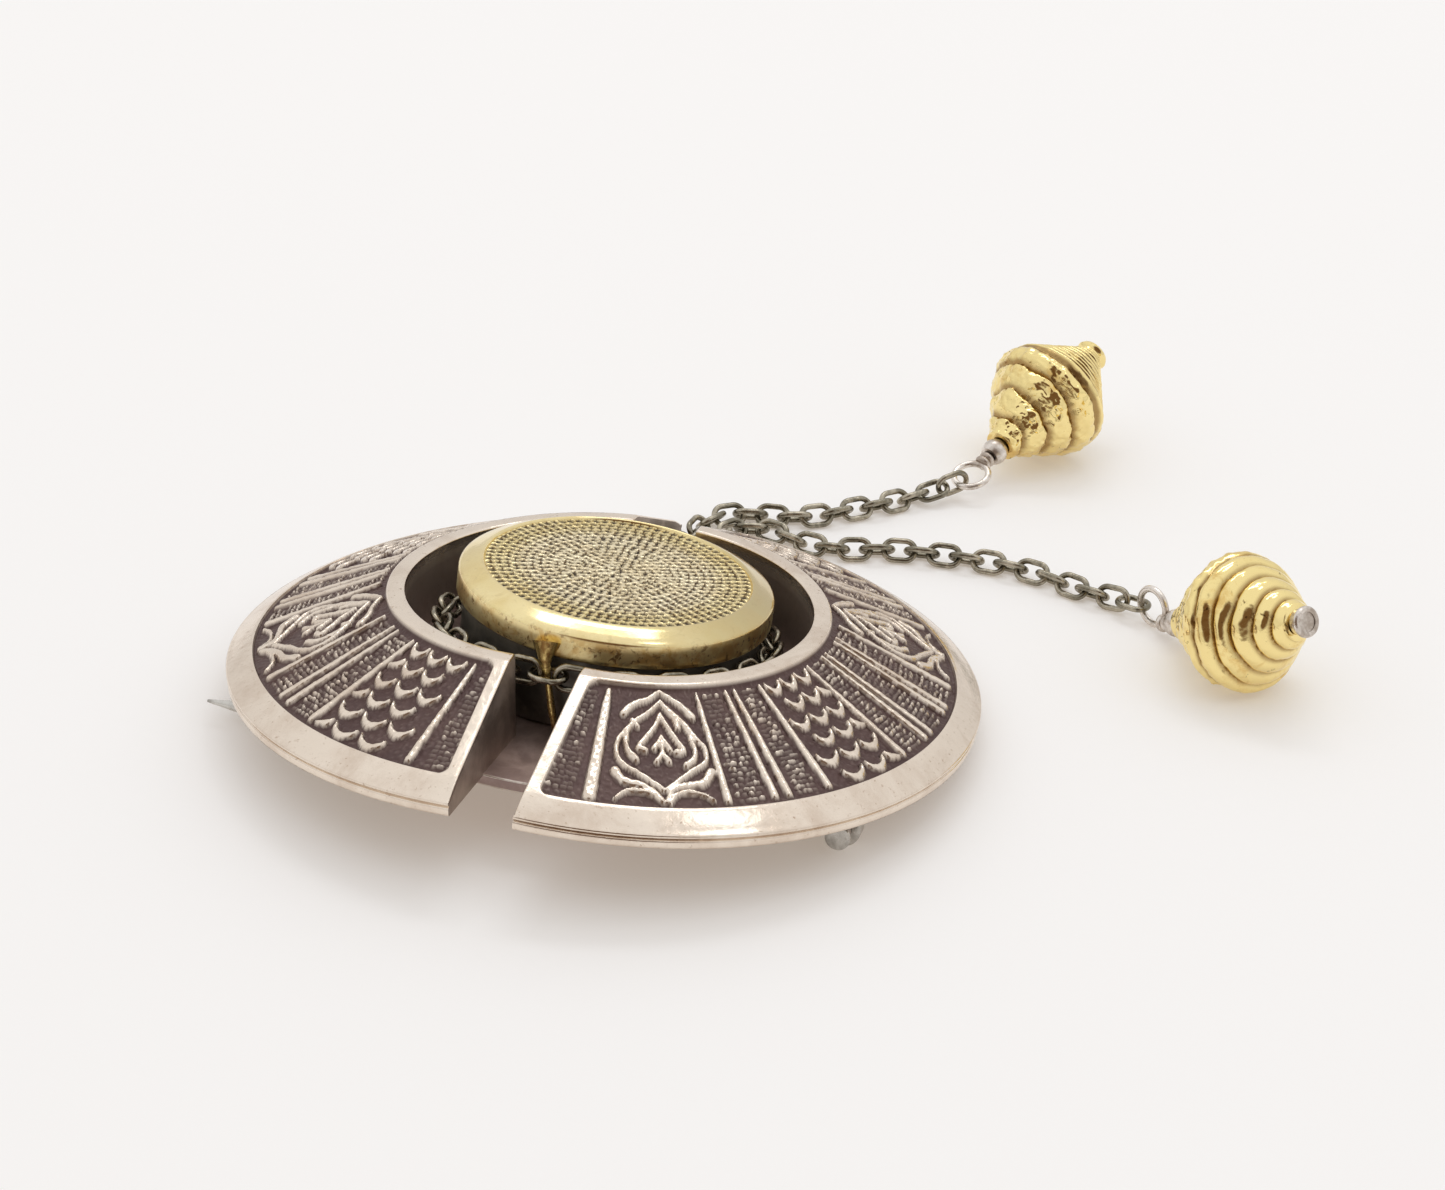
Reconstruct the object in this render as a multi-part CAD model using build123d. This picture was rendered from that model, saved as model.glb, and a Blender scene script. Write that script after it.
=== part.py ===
from build123d import *
import math
import os

# A silver brooch: two half saucers pulled apart by a slot, soldered to a round back plate, with a gold button on
# a drum in the middle. A fine chain runs round the drum under the button, is held in front by a gold peg, and
# leaves by the back slot to two gold finials that lie on the table. Behind is a hinged pin with a plain catch.
# The brooch lies as it does on a table: its hinge and catch lift its front, and its back rim touches down.
# +Z is up and z = 0 is the table. The origin is the foot of the brooch's middle, and -Y is the front slot.

# Half saucers, in the brooch's own flat frame, where z = 0 is the underside beside the slot
HALF_RADIUS = 23.5
HALF_SPREAD = 1.3
SLOT_WIDTH = 4.0
ROOF_ANGLE = 2.7
RIM_HEIGHT = 0.9
RIM_FLARE = 0.1
BEVEL_WIDTH = 1.7
BEVEL_RISE = 1.0
FIELD_SLOPE = 22.9
OPENING_RADIUS = 11.9
INNER_BORDER = 1.15
INNER_BORDER_RISE = 0.08
SIDE_BORDER = 0.8
SHELL_WALL = 0.85

# Cast relief in the sunk field
FIELD_DEPTH = 0.4
RELIEF_HEIGHT = 0.36
RELIEF_ROOT = 0.15
RELIEF_MARGIN = 0.25
BAR_WIDTH = 0.5
WIDE_BAR_WIDTH = 0.85
SCALE_ROWS = 6
SCALES_ACROSS = 3
SCALE_THICKNESS = 0.5
SCALE_BULGE = 0.75

# Places along each half, in degrees from the front slot: bars, fish scale panels and palmettes
RIGHT_BARS = (34.8, 43.0, 45.6, 53.5, 72.6, 80.8, 83.3, 91.7, 94.1, 102.2, 126.5, 135.0, 137.6, 146.5, 167.5)
RIGHT_WIDE_BARS = (12.0,)
RIGHT_SCALES = ((54.6, 71.4), (148.0, 165.6))
RIGHT_PALMETTES = ((15.2, 33.8), (104.5, 124.3))
LEFT_BARS = (11.7, 34.6, 42.6, 45.6, 53.2, 76.4, 83.8, 86.6, 95.0, 98.0, 119.5, 127.5, 130.2, 137.8, 159.8)
LEFT_WIDE_BARS = (168.0,)
LEFT_SCALES = ((13.8, 33.2), (99.8, 117.8))
LEFT_PALMETTES = ((55.0, 75.0), (139.4, 158.4))

# Strokes of half a palmette. Across is a share of half its width, and out a share of the field's depth.
# Each stroke starts, bows and ends at such a point, and has its own width in mm. Pairs cross on the middle line.
PALMETTE_STROKES = (
    ((-0.93, 0.96), (-0.56, 0.875), (-0.03, 0.955), 0.34),
    ((-0.99, 0.72), (-0.70, 0.845), (-0.04, 0.87), 0.52),
    ((-0.03, 0.83), (-0.70, 0.66), (-0.97, 0.40), 0.36),
    ((-0.98, 0.57), (-0.78, 0.31), (0.05, 0.10), 0.36),
    ((-0.62, 0.62), (-0.72, 0.52), (-0.70, 0.38), 0.30),
    ((-0.44, 0.55), (-0.28, 0.43), (0.05, 0.33), 0.34),
    ((-0.50, 0.38), (-0.30, 0.26), (0.05, 0.18), 0.30),
    ((-0.98, 0.21), (-0.56, 0.12), (0.05, 0.03), 0.40),
)
PALMETTE_SPINE = (((0.00, 0.75), (0.00, 0.55), 0.55), ((0.00, 0.51), (0.00, 0.36), 0.36))

# Back plate
PLATE_RADIUS = 17.8
PLATE_THICKNESS = 0.8
PLATE_TOP = 0.1

# Gold button and its drum, which lean together
BUTTON_LEAN_X = -2.0
BUTTON_LEAN_Y = 3.65
BUTTON_RADIUS = 10.4
BUTTON_SKIRT_FOOT = 4.85
BUTTON_RIDGE = 6.2
BUTTON_TOP = 7.1
BUTTON_FIELD_RADIUS = 8.5
BUTTON_FIELD_DEPTH = 0.18
BUTTON_ROOF = 1.1
DRUM_RADIUS = 9.85
DRUM_WALL = 0.8
FIT_GAP = 0.1

# Gold peg, which threads the middle link of the chain in the front slot
PEG_RADIUS = 0.22
PEG_TOP = (-0.72, -10.7, 5.6)
PEG_FOOT = (0.32, -11.0, 0.25)
PEG_ROOT_RADIUS = 0.85
PEG_ROOT_LENGTH = 1.15

# Pin, hinge and catch under the plate
PIN_Y = -10.4
PIN_Z = -2.55
PIN_RADIUS = 0.43
HINGE_X = HALF_RADIUS - 4.3
PIN_REACH = 2 * HALF_RADIUS - 4.0
PIN_TAPER = 2.5
PIN_POINT_RADIUS = 0.1
EYE_RADIUS = 1.15
EYE_THICKNESS = 1.0
RIVET_RADIUS = 0.5
RIVET_HEAD_RADIUS = 0.8
RIVET_HEAD = 0.25
HINGE_CLEARANCE = 0.08
LUG_THICKNESS = 0.9
LUG_RADIUS = 1.2
CATCH_X = 4.1 - HALF_RADIUS
CATCH_WIDTH = 1.8
CATCH_RADIUS = 1.2
CATCH_BORE = 0.62
CATCH_MOUTH = 1.0
CATCH_LEG = 0.9
FOOT_BURY = 0.3

# How the brooch lies
REST_LEAN = 6.2
REST_CLEARANCE = 0.02

# Chain: a link's wire, its hole, and the places that it passes
WIRE = 0.42
LINK_HOLE_LENGTH = 1.87
LINK_HOLE_WIDTH = 1.04
LINK_PITCH = 1.65
LINK_ROLL = 45.0
STEEP_LINK_ROLL = 70.0
CHAIN_RING_RADIUS = 10.95
CHAIN_FRONT_HEIGHT = 4.1
CHAIN_BACK_HEIGHT = 1.05
CHAIN_LANE = 0.97
CHAIN_TURN = ((3.8, 10.4), (2.1, 10.75), (1.0, 11.7), (0.85, 13.2))
CHAIN_FLOOR_HEIGHT = 0.8
NEAR_ROUTE = ((1.15, 24.1), (2.1, 25.3), (3.7, 25.6), (6.0, 24.9), (9.0, 24.5), (12.4, 25.6), (16.2, 26.3),
              (20.4, 26.5), (24.3, 26.0), (28.0, 24.7))
FAR_ROUTE = ((-0.9, 24.4), (0.0, 26.4), (1.8, 27.5), (4.3, 27.9), (6.9, 29.1), (9.0, 30.9), (11.4, 33.0),
             (13.3, 35.1))

# Finials
GIRTH_RADIUS = 4.9
BEAD_NECK_LENGTH = 6.1
BEAD_TIP_LENGTH = 5.5
BEAD_END_RADIUS = 1.25
BRIM_WIDTH = 1.6
NECK_RIBS = 3
TIP_RIBS = 5
RIB_BULGE = 0.22
SHAFT_RADIUS = 0.4
BORE_GAP = 0.12
HEAD_RADIUS = 0.88
HEAD_THICKNESS = 0.7
NECK_BEAD_RADIUS = 1.0
NECK_BEAD_LENGTH = 1.5
WRAP_TURNS = 2
LOOP_WIRE = 0.5
LOOP_RADIUS = 1.3

# Where each finial lies and how it is turned and tipped up, then how far its loop stands above its axis, how the
# loop is rolled round it, and how far under the loop's middle the chain hooks in
NEAR_FINIAL = {
    "place": (39.57, 17.35), "turn": -39.0, "tilt": 27.0, "loop_rise": 1.2, "loop_roll": 0.0, "hook_drop": 0.4,
}
FAR_FINIAL = {
    "place": (20.25, 46.3), "turn": 66.0, "tilt": 18.0, "loop_rise": 0.0, "loop_roll": 90.0, "hook_drop": 0.0,
}

SLOPE = math.tan(math.radians(FIELD_SLOPE))
BEVEL_RADIUS = HALF_RADIUS + RIM_FLARE - BEVEL_WIDTH
BEVEL_TOP = RIM_HEIGHT + BEVEL_RISE
CROWN_RADIUS = OPENING_RADIUS + INNER_BORDER
SLOT_EDGE = SLOT_WIDTH / 2 - HALF_SPREAD
LUG_OFFSET = EYE_THICKNESS / 2 + HINGE_CLEARANCE + LUG_THICKNESS / 2
FAR_AWAY = 4 * HALF_RADIUS


def surface_height(radius):
    """Height of the bright borders' slope at a radius of a half's own circle."""
    return BEVEL_TOP + (BEVEL_RADIUS - radius) * SLOPE


def turned(profile):
    """A solid of revolution about Z from a closed outline of (radius, height) points."""
    return revolve(make_face(Polyline(*[(r, 0, z) for r, z in profile], close=True)), Axis.Z)


def turned_about_x(profile):
    """A solid of revolution about X from a closed outline of edges in the XZ plane."""
    return revolve(make_face(profile), Axis.X)


def beyond(edge):
    """All space on the outer side of a plane x = edge."""
    return Pos(edge + FAR_AWAY / 2, 0, 0) * Box(FAR_AWAY, FAR_AWAY, FAR_AWAY)


def below(height):
    """All space under a height."""
    return Pos(0, 0, height - FAR_AWAY / 2) * Box(FAR_AWAY, FAR_AWAY, FAR_AWAY)


def plan_point(angle, radius):
    """A point in plan on a half that lies at +X, by its angle from the front slot."""
    return Vector(radius * math.sin(math.radians(angle)), -radius * math.cos(math.radians(angle)), 0)


def stroke(start, middle, end, width):
    """A flat leaf shape between two bows that share their ends."""
    along = (end - start).normalized()
    side = Vector(-along.Y, along.X, 0) * (width / 2)
    bows = [ThreePointArc(start, middle + side, end), ThreePointArc(end, middle - side, start)]
    return make_face(bows)


def bar(angle, width):
    """A radial bar that widens outwards and has a rounded outer end."""
    inner = CROWN_RADIUS + 2 * RELIEF_MARGIN
    outer = BEVEL_RADIUS - 2 * RELIEF_MARGIN
    outward = plan_point(angle, 1)
    across = Vector(-outward.Y, outward.X, 0)
    foot = across * (width * 0.4)
    head = across * (width * 0.5)
    shoulder = outward * (outer - width / 2)
    outline = [
        Line(outward * inner - foot, shoulder - head),
        ThreePointArc(shoulder - head, outward * outer, shoulder + head),
        Line(shoulder + head, outward * inner + foot),
        Line(outward * inner + foot, outward * inner - foot),
    ]
    return make_face(outline)


def fish_scales(first_angle, last_angle):
    """Rows of crescents, staggered row by row, whose backs point outwards."""
    span = (last_angle - first_angle) / SCALES_ACROSS
    depth = BEVEL_RADIUS - CROWN_RADIUS - 2 * RELIEF_MARGIN
    scales = []
    for row in range(SCALE_ROWS):
        radius = CROWN_RADIUS + RELIEF_MARGIN + depth * (row + 0.36) / SCALE_ROWS
        shifted = row % 2
        for column in range(SCALES_ACROSS - shifted):
            middle_angle = first_angle + span * (column + 0.5 + 0.5 * shifted)
            half_span = 0.46 * span
            crown = plan_point(middle_angle, radius + SCALE_BULGE)
            inner_crown = plan_point(middle_angle, radius + SCALE_BULGE - SCALE_THICKNESS)
            ends = [plan_point(middle_angle + sign * half_span, radius) for sign in (-1, 1)]
            scales.append(make_face([ThreePointArc(ends[0], crown, ends[1]),
                                     ThreePointArc(ends[1], inner_crown, ends[0])]))
    return scales


def palmette(first_angle, last_angle):
    """A pointed leaf frame round two chevrons, with curled leaves above and below."""
    middle = (first_angle + last_angle) / 2
    half = (last_angle - first_angle) / 2
    inner = CROWN_RADIUS + RELIEF_MARGIN
    depth = BEVEL_RADIUS - RELIEF_MARGIN - inner

    def spot(point, mirror):
        return plan_point(middle + mirror * point[0] * half, inner + point[1] * depth)

    leaves = []
    for start, bow, end, width in PALMETTE_STROKES:
        for mirror in (-1, 1):
            leaves.append(stroke(spot(start, mirror), spot(bow, mirror), spot(end, mirror), width))
    for start, end, width in PALMETTE_SPINE:
        top = spot(start, 1)
        foot = spot(end, 1)
        leaves.append(stroke(top, (top + foot) / 2, foot, width))
    return leaves


def relief(bars, wide_bars, scales, palmettes):
    """The raised motifs of one half, all of one height above the sunk field."""
    inner = CROWN_RADIUS + RELIEF_MARGIN
    outer = BEVEL_RADIUS - RELIEF_MARGIN
    root = -FIELD_DEPTH - RELIEF_ROOT
    top = RELIEF_HEIGHT - FIELD_DEPTH
    layer = turned([
        (inner, surface_height(inner) + root), (outer, surface_height(outer) + root),
        (outer, surface_height(outer) + top), (inner, surface_height(inner) + top),
    ])
    shapes = [bar(angle, BAR_WIDTH) for angle in bars]
    shapes += [bar(angle, WIDE_BAR_WIDTH) for angle in wide_bars]
    for first_angle, last_angle in scales:
        shapes += fish_scales(first_angle, last_angle)
    for first_angle, last_angle in palmettes:
        shapes += palmette(first_angle, last_angle)
    tall = surface_height(inner) + RELIEF_HEIGHT
    return [layer & extrude(shape, tall, dir=(0, 0, 1)) for shape in shapes]


def saucer_body():
    """The whole saucer's outside, with no hollow and no slot."""
    return turned([
        (OPENING_RADIUS, 0), (HALF_RADIUS, 0), (HALF_RADIUS + RIM_FLARE, RIM_HEIGHT), (BEVEL_RADIUS, BEVEL_TOP),
        (CROWN_RADIUS, surface_height(CROWN_RADIUS)),
        (OPENING_RADIUS, surface_height(CROWN_RADIUS) + INNER_BORDER_RISE),
    ])


def half_saucer(bars, wide_bars, scales, palmettes):
    """One hollow half at +X with its sunk field and relief."""
    roof = -FIELD_DEPTH - SHELL_WALL
    rim_inside = HALF_RADIUS - SHELL_WALL
    collar_inside = OPENING_RADIUS + SHELL_WALL
    hollow = turned([
        (collar_inside, -1), (rim_inside, -1), (rim_inside, surface_height(rim_inside) + roof),
        (collar_inside, surface_height(collar_inside) + roof),
    ])
    pocket = turned([
        (CROWN_RADIUS, surface_height(CROWN_RADIUS) - FIELD_DEPTH),
        (BEVEL_RADIUS, BEVEL_TOP - FIELD_DEPTH), (BEVEL_RADIUS, FAR_AWAY), (CROWN_RADIUS, FAR_AWAY),
    ])
    shell = saucer_body() & beyond(SLOT_EDGE)
    shell -= hollow & beyond(SLOT_EDGE + SHELL_WALL)
    shell -= pocket & beyond(SLOT_EDGE + SIDE_BORDER)
    return shell.fuse(*relief(bars, wide_bars, scales, palmettes))


def set_apart(piece):
    """Moves a half from its own circle to its place beside the slot, dropped like a roof."""
    hinge_line = SLOT_WIDTH / 2
    return Pos(hinge_line, 0, 0) * Rot(0, ROOF_ANGLE, 0) * Pos(HALF_SPREAD - hinge_line, 0, 0) * piece


def hinge_lugs():
    """Two ears that hold the pin's rivet, tall enough to reach the shell above."""
    ears = []
    for side in (-1, 1):
        offset = side * LUG_OFFSET
        plate = Pos(HINGE_X, PIN_Y + offset, PIN_Z) * Rot(90, 0, 0) * Cylinder(LUG_RADIUS, LUG_THICKNESS)
        post_top = surface_height(OPENING_RADIUS)
        post_height = post_top - PIN_Z
        post = Pos(HINGE_X, PIN_Y + offset, PIN_Z + post_height / 2) * Box(
            2 * LUG_RADIUS, LUG_THICKNESS, post_height)
        hole = Pos(HINGE_X, PIN_Y + offset, PIN_Z) * Rot(90, 0, 0) * Cylinder(
            RIVET_RADIUS + HINGE_CLEARANCE, 2 * LUG_THICKNESS)
        ears.append(plate + post - hole)
    return ears


def catch():
    """A rolled clip, open downwards, that the pin springs up into."""
    post_top = surface_height(OPENING_RADIUS)
    post_height = post_top - PIN_Z
    roll = Pos(CATCH_X, PIN_Y, PIN_Z) * Rot(0, 90, 0) * Cylinder(CATCH_RADIUS, CATCH_WIDTH)
    post = Pos(CATCH_X, PIN_Y, PIN_Z + post_height / 2) * Box(CATCH_WIDTH, CATCH_LEG, post_height)
    bore = Pos(CATCH_X, PIN_Y, PIN_Z) * Rot(0, 90, 0) * Cylinder(CATCH_BORE, 2 * CATCH_WIDTH)
    mouth = Pos(CATCH_X, PIN_Y, PIN_Z - CATCH_RADIUS) * Box(2 * CATCH_WIDTH, CATCH_MOUTH, 2 * CATCH_RADIUS)
    return roll + post - bore - mouth


def silver_frame():
    """Both halves, the back plate, the hinge lugs and the catch, soldered into one piece."""
    right = set_apart(half_saucer(RIGHT_BARS, RIGHT_WIDE_BARS, RIGHT_SCALES, RIGHT_PALMETTES))
    left = mirror(set_apart(half_saucer(LEFT_BARS, LEFT_WIDE_BARS, LEFT_SCALES, LEFT_PALMETTES)), Plane.YZ)
    plate = Pos(0, 0, PLATE_TOP - PLATE_THICKNESS / 2) * Cylinder(PLATE_RADIUS, PLATE_THICKNESS)
    right_envelope = set_apart(saucer_body() & beyond(SLOT_EDGE))
    left_envelope = mirror(right_envelope, Plane.YZ)
    lugs = [lug & (Pos(0, 0, -FOOT_BURY) * (right_envelope + below(0))) for lug in hinge_lugs()]
    hook = catch() & (Pos(0, 0, -FOOT_BURY) * (left_envelope + below(0)))
    return right.fuse(left, plate, *lugs, hook)


def lean_button(piece):
    """Leans the button and its drum to the right and to the back."""
    return Rot(BUTTON_LEAN_X, BUTTON_LEAN_Y, 0) * piece


def centre_drum():
    """The dark ring wall that stands on the plate and carries the button."""
    foot = PLATE_TOP + FIT_GAP
    roof = BUTTON_TOP - BUTTON_ROOF - FIT_GAP
    wall = turned([
        (DRUM_RADIUS - DRUM_WALL, -HALF_RADIUS), (DRUM_RADIUS, -HALF_RADIUS), (DRUM_RADIUS, roof),
        (DRUM_RADIUS - DRUM_WALL, roof),
    ])
    return lean_button(wall) - below(foot)


def gold_button():
    """The button: a lid with a broad bevel and a sunk centre field, and its peg in front."""
    inside = DRUM_RADIUS + FIT_GAP
    roof = BUTTON_TOP - BUTTON_ROOF
    floor = BUTTON_TOP - BUTTON_FIELD_DEPTH
    lid = lean_button(turned([
        (0, roof), (inside, roof), (inside, BUTTON_SKIRT_FOOT), (BUTTON_RADIUS, BUTTON_SKIRT_FOOT),
        (BUTTON_RADIUS, BUTTON_RIDGE), (BUTTON_FIELD_RADIUS, BUTTON_TOP),
        (BUTTON_FIELD_RADIUS - BUTTON_FIELD_DEPTH, floor), (0, floor),
    ]))
    top = Vector(*PEG_TOP)
    run = Vector(*PEG_FOOT) - top
    root = Plane(origin=top, z_dir=run.normalized())
    rod = root * Pos(0, 0, run.length / 2) * Cylinder(PEG_RADIUS, run.length)
    flare = root * Pos(0, 0, PEG_ROOT_LENGTH / 2) * Cone(PEG_ROOT_RADIUS, PEG_RADIUS, PEG_ROOT_LENGTH)
    return lid + (rod + flare - lean_button(Cylinder(inside, FAR_AWAY)))


def hinge_rivet():
    """The rivet through both lugs and the pin's eye."""
    outer = LUG_OFFSET + LUG_THICKNESS / 2 + HINGE_CLEARANCE
    shank = Cylinder(RIVET_RADIUS, 2 * outer)
    heads = [Pos(0, 0, side * (outer + RIVET_HEAD / 2)) * Cylinder(RIVET_HEAD_RADIUS, RIVET_HEAD)
             for side in (-1, 1)]
    return Pos(HINGE_X, PIN_Y, PIN_Z) * Rot(90, 0, 0) * shank.fuse(*heads)


def pin_stem():
    """The pin: an eye on the rivet, a straight stem and a tapered point past the left rim."""
    shank = PIN_REACH - PIN_TAPER
    stem = turned_about_x(Polyline(
        (0, 0, 0), (0, 0, PIN_RADIUS), (-shank, 0, PIN_RADIUS), (-PIN_REACH, 0, PIN_POINT_RADIUS),
        (-PIN_REACH, 0, 0), close=True))
    eye = Rot(90, 0, 0) * Cylinder(EYE_RADIUS, EYE_THICKNESS)
    hole = Rot(90, 0, 0) * Cylinder(RIVET_RADIUS + HINGE_CLEARANCE, 2 * EYE_THICKNESS)
    return Pos(HINGE_X, PIN_Y, PIN_Z) * (stem + eye - hole)


LUG_BACK = PIN_Y + LUG_OFFSET + LUG_THICKNESS / 2
REST_HEIGHT = ((LUG_RADIUS - PIN_Z) * math.cos(math.radians(REST_LEAN))
               + LUG_BACK * math.sin(math.radians(REST_LEAN)) + REST_CLEARANCE)
LYING = Pos(0, 0, REST_HEIGHT) * Rot(-REST_LEAN, 0, 0)


def at_rest(point):
    """A point of the brooch's flat frame where it is when the brooch lies on the table."""
    return (LYING * Pos(*point)).position


def link():
    """One oval link: two straight sides and two half rings of round wire."""
    half_straight = (LINK_HOLE_LENGTH - LINK_HOLE_WIDTH) / 2
    reach = (LINK_HOLE_WIDTH + WIRE) / 2
    section = Plane.XZ * Pos(reach, 0, 0) * Circle(WIRE / 2)
    half_ring = revolve(section, Axis.Z, revolution_arc=180)
    side = Rot(0, 90, 0) * Cylinder(WIRE / 2, 2 * half_straight)
    right_end = Pos(half_straight, 0, 0) * Rot(0, 0, -90) * half_ring
    left_end = Pos(-half_straight, 0, 0) * Rot(0, 0, 90) * half_ring
    return right_end.fuse(left_end, Pos(0, reach, 0) * side, Pos(0, -reach, 0) * side)


def bead_corners():
    """The grooves between a gold bead's ribs as (x, radius) points, from its neck over its brim to its tip."""
    swell = GIRTH_RADIUS - RIB_BULGE - BEAD_END_RADIUS
    half_brim = BRIM_WIDTH / 2
    corners = []
    for step in range(NECK_RIBS + 1):
        share = step / NECK_RIBS
        x = share * (BEAD_NECK_LENGTH - half_brim) - BEAD_NECK_LENGTH
        corners.append((x, BEAD_END_RADIUS + share * swell))
    for step in range(TIP_RIBS + 1):
        share = 1 - step / TIP_RIBS
        x = BEAD_TIP_LENGTH - share * (BEAD_TIP_LENGTH - half_brim)
        corners.append((x, BEAD_END_RADIUS + share * swell))
    return corners


def finial_frame(finial):
    """A frame at a finial's girth whose x runs from its neck to its tip, with its bead down on the table."""
    tipped = Rot(0, -finial["tilt"], 0)
    lowest = (tipped * gold_bead()).bounding_box().min.Z
    x, y = finial["place"]
    return Pos(x, y, REST_CLEARANCE - lowest) * Rot(0, 0, finial["turn"]) * tipped


def loop_place(finial):
    """The middle of a headpin's loop, which may stand above the pin's axis."""
    rise = finial["loop_rise"]
    reach = math.sqrt(LOOP_RADIUS ** 2 - rise ** 2)
    return (-BEAD_NECK_LENGTH - NECK_BEAD_LENGTH - WRAP_TURNS * LOOP_WIRE - reach, 0, rise)


LAST_LINK_OFFSET = (LOOP_RADIUS - LOOP_WIRE / 2 - 2 * BORE_GAP - WIRE / 2) + (LINK_HOLE_LENGTH + WIRE) / 2


def peg_point(height):
    """The middle of the peg at a height of the flat frame."""
    share = (PEG_TOP[2] - height) / (PEG_TOP[2] - PEG_FOOT[2])
    return tuple(top + share * (foot - top) for top, foot in zip(PEG_TOP, PEG_FOOT))


def chain_route(side, floor_route, finial):
    """The line of one half of the chain, from the peg round the drum and over the table to its finial."""
    points = [at_rest(peg_point(CHAIN_FRONT_HEIGHT))]
    for step in range(1, 9):
        angle = 18 * step
        rise = (CHAIN_FRONT_HEIGHT - CHAIN_BACK_HEIGHT) * (1 + math.cos(math.radians(angle))) / 2
        spot = plan_point(angle, CHAIN_RING_RADIUS)
        points.append(at_rest((side * spot.X, spot.Y, CHAIN_BACK_HEIGHT + rise)))
    points += [at_rest((side * x, y, CHAIN_BACK_HEIGHT)) for x, y in CHAIN_TURN]
    lane = side * CHAIN_LANE
    points.append(at_rest((lane, PLATE_RADIUS - 2.0, CHAIN_BACK_HEIGHT)))
    points.append(at_rest((lane, PLATE_RADIUS + 0.5, CHAIN_BACK_HEIGHT)))
    points.append(Vector(lane, HALF_RADIUS - 1.2, CHAIN_FLOOR_HEIGHT + 0.1))
    points += [Vector(x, y, CHAIN_FLOOR_HEIGHT) for x, y in floor_route]
    hook = (finial_frame(finial) * Pos(*loop_place(finial))).position - Vector(0, 0, finial["hook_drop"])
    points.append(hook)
    towards_finial = Vector(1, 0, 0).rotate(Axis.Z, finial["turn"])
    return Spline(*points, tangents=[Vector(side, 0, 0), towards_finial], tangent_scalars=[1.0, 1.0])


def chain(side, floor_route, finial, first_link):
    """The loose links of one half of the chain, each hung between two joints on its route."""
    route = chain_route(side, floor_route, finial)
    count = round((route.length - LAST_LINK_OFFSET) / LINK_PITCH)
    pitch = (route.length - LAST_LINK_OFFSET) / count / route.length
    one_link = link()
    links = []
    for number in range(first_link, count + 1):
        front = route @ ((number + 0.5) * pitch)
        back = route @ ((number - 0.5) * pitch) if number else (route @ 0) * 2 - front
        along = (front - back).normalized()
        level = Vector(0, 0, 1).cross(along).normalized()
        upright = along.cross(level)
        roll = math.radians(side * link_roll(number, count, finial["loop_roll"]))
        face = upright * math.cos(roll) + level * math.sin(roll)
        links.append(Plane(origin=(front + back) / 2, x_dir=along, z_dir=face) * one_link)
    print(f"chain side {side}: {len(links)} links on {route.length:.1f} mm")
    return Compound(children=links)


def link_roll(number, last, hook_roll):
    """How far a link leans: square to the peg or the loop at the ends, one way and the other between."""
    if number == 0:
        return 0.0
    if number == last:
        return hook_roll
    lean = LINK_ROLL
    if number == 1:
        lean = STEEP_LINK_ROLL
    if number == last - 1:
        lean = abs(STEEP_LINK_ROLL - hook_roll)
    return lean if number % 2 == 0 else -lean


def bead_outline():
    """The ribbed outline of a gold bead above its axis, closed along its bore."""
    edges = []
    corners = bead_corners()
    for (x0, r0), (x1, r1) in zip(corners, corners[1:]):
        length = math.hypot(x1 - x0, r1 - r0)
        bulge_x = -(r1 - r0) / length * RIB_BULGE
        bulge_r = (x1 - x0) / length * RIB_BULGE
        middle = ((x0 + x1) / 2 + bulge_x, 0, (r0 + r1) / 2 + bulge_r)
        edges.append(ThreePointArc((x0, 0, r0), middle, (x1, 0, r1)))
    bore = SHAFT_RADIUS + BORE_GAP
    edges.append(Line((BEAD_TIP_LENGTH, 0, BEAD_END_RADIUS), (BEAD_TIP_LENGTH, 0, bore)))
    edges.append(Line((BEAD_TIP_LENGTH, 0, bore), (-BEAD_NECK_LENGTH, 0, bore)))
    edges.append(Line((-BEAD_NECK_LENGTH, 0, bore), (-BEAD_NECK_LENGTH, 0, BEAD_END_RADIUS)))
    return edges


def gold_bead():
    """A ribbed bicone, drilled for its headpin."""
    return turned_about_x(bead_outline())


def neck_bead():
    """A small silver bead between the gold bead and the wire wraps."""
    start = -BEAD_NECK_LENGTH - FIT_GAP
    end = start - NECK_BEAD_LENGTH + 2 * FIT_GAP
    bore = SHAFT_RADIUS + BORE_GAP
    rim = (bore + NECK_BEAD_RADIUS) / 2
    return turned_about_x([
        Line((start, 0, bore), (start, 0, rim)),
        ThreePointArc((start, 0, rim), ((start + end) / 2, 0, NECK_BEAD_RADIUS), (end, 0, rim)),
        Line((end, 0, rim), (end, 0, bore)),
        Line((end, 0, bore), (start, 0, bore)),
    ])


def headpin(finial):
    """A riveted wire through both beads, wrapped twice and bent to a loop for the chain."""
    tip = BEAD_TIP_LENGTH + FIT_GAP
    wraps_start = -BEAD_NECK_LENGTH - NECK_BEAD_LENGTH
    shaft_end = wraps_start - WRAP_TURNS * LOOP_WIRE
    shaft = Pos((tip + shaft_end) / 2, 0, 0) * Rot(0, 90, 0) * Cylinder(SHAFT_RADIUS, tip - shaft_end)
    head = Pos(tip + HEAD_THICKNESS / 2, 0, 0) * Rot(0, 90, 0) * Cylinder(HEAD_RADIUS, HEAD_THICKNESS)
    loop = Pos(*loop_place(finial)) * Rot(90 + finial["loop_roll"], 0, 0) * Torus(LOOP_RADIUS, LOOP_WIRE / 2)
    wraps = [Pos(wraps_start - (turn + 0.5) * LOOP_WIRE, 0, 0) * Rot(0, 90, 0) * Torus(SHAFT_RADIUS, LOOP_WIRE / 2)
             for turn in range(WRAP_TURNS)]
    return shaft.fuse(head, loop, *wraps)


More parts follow.
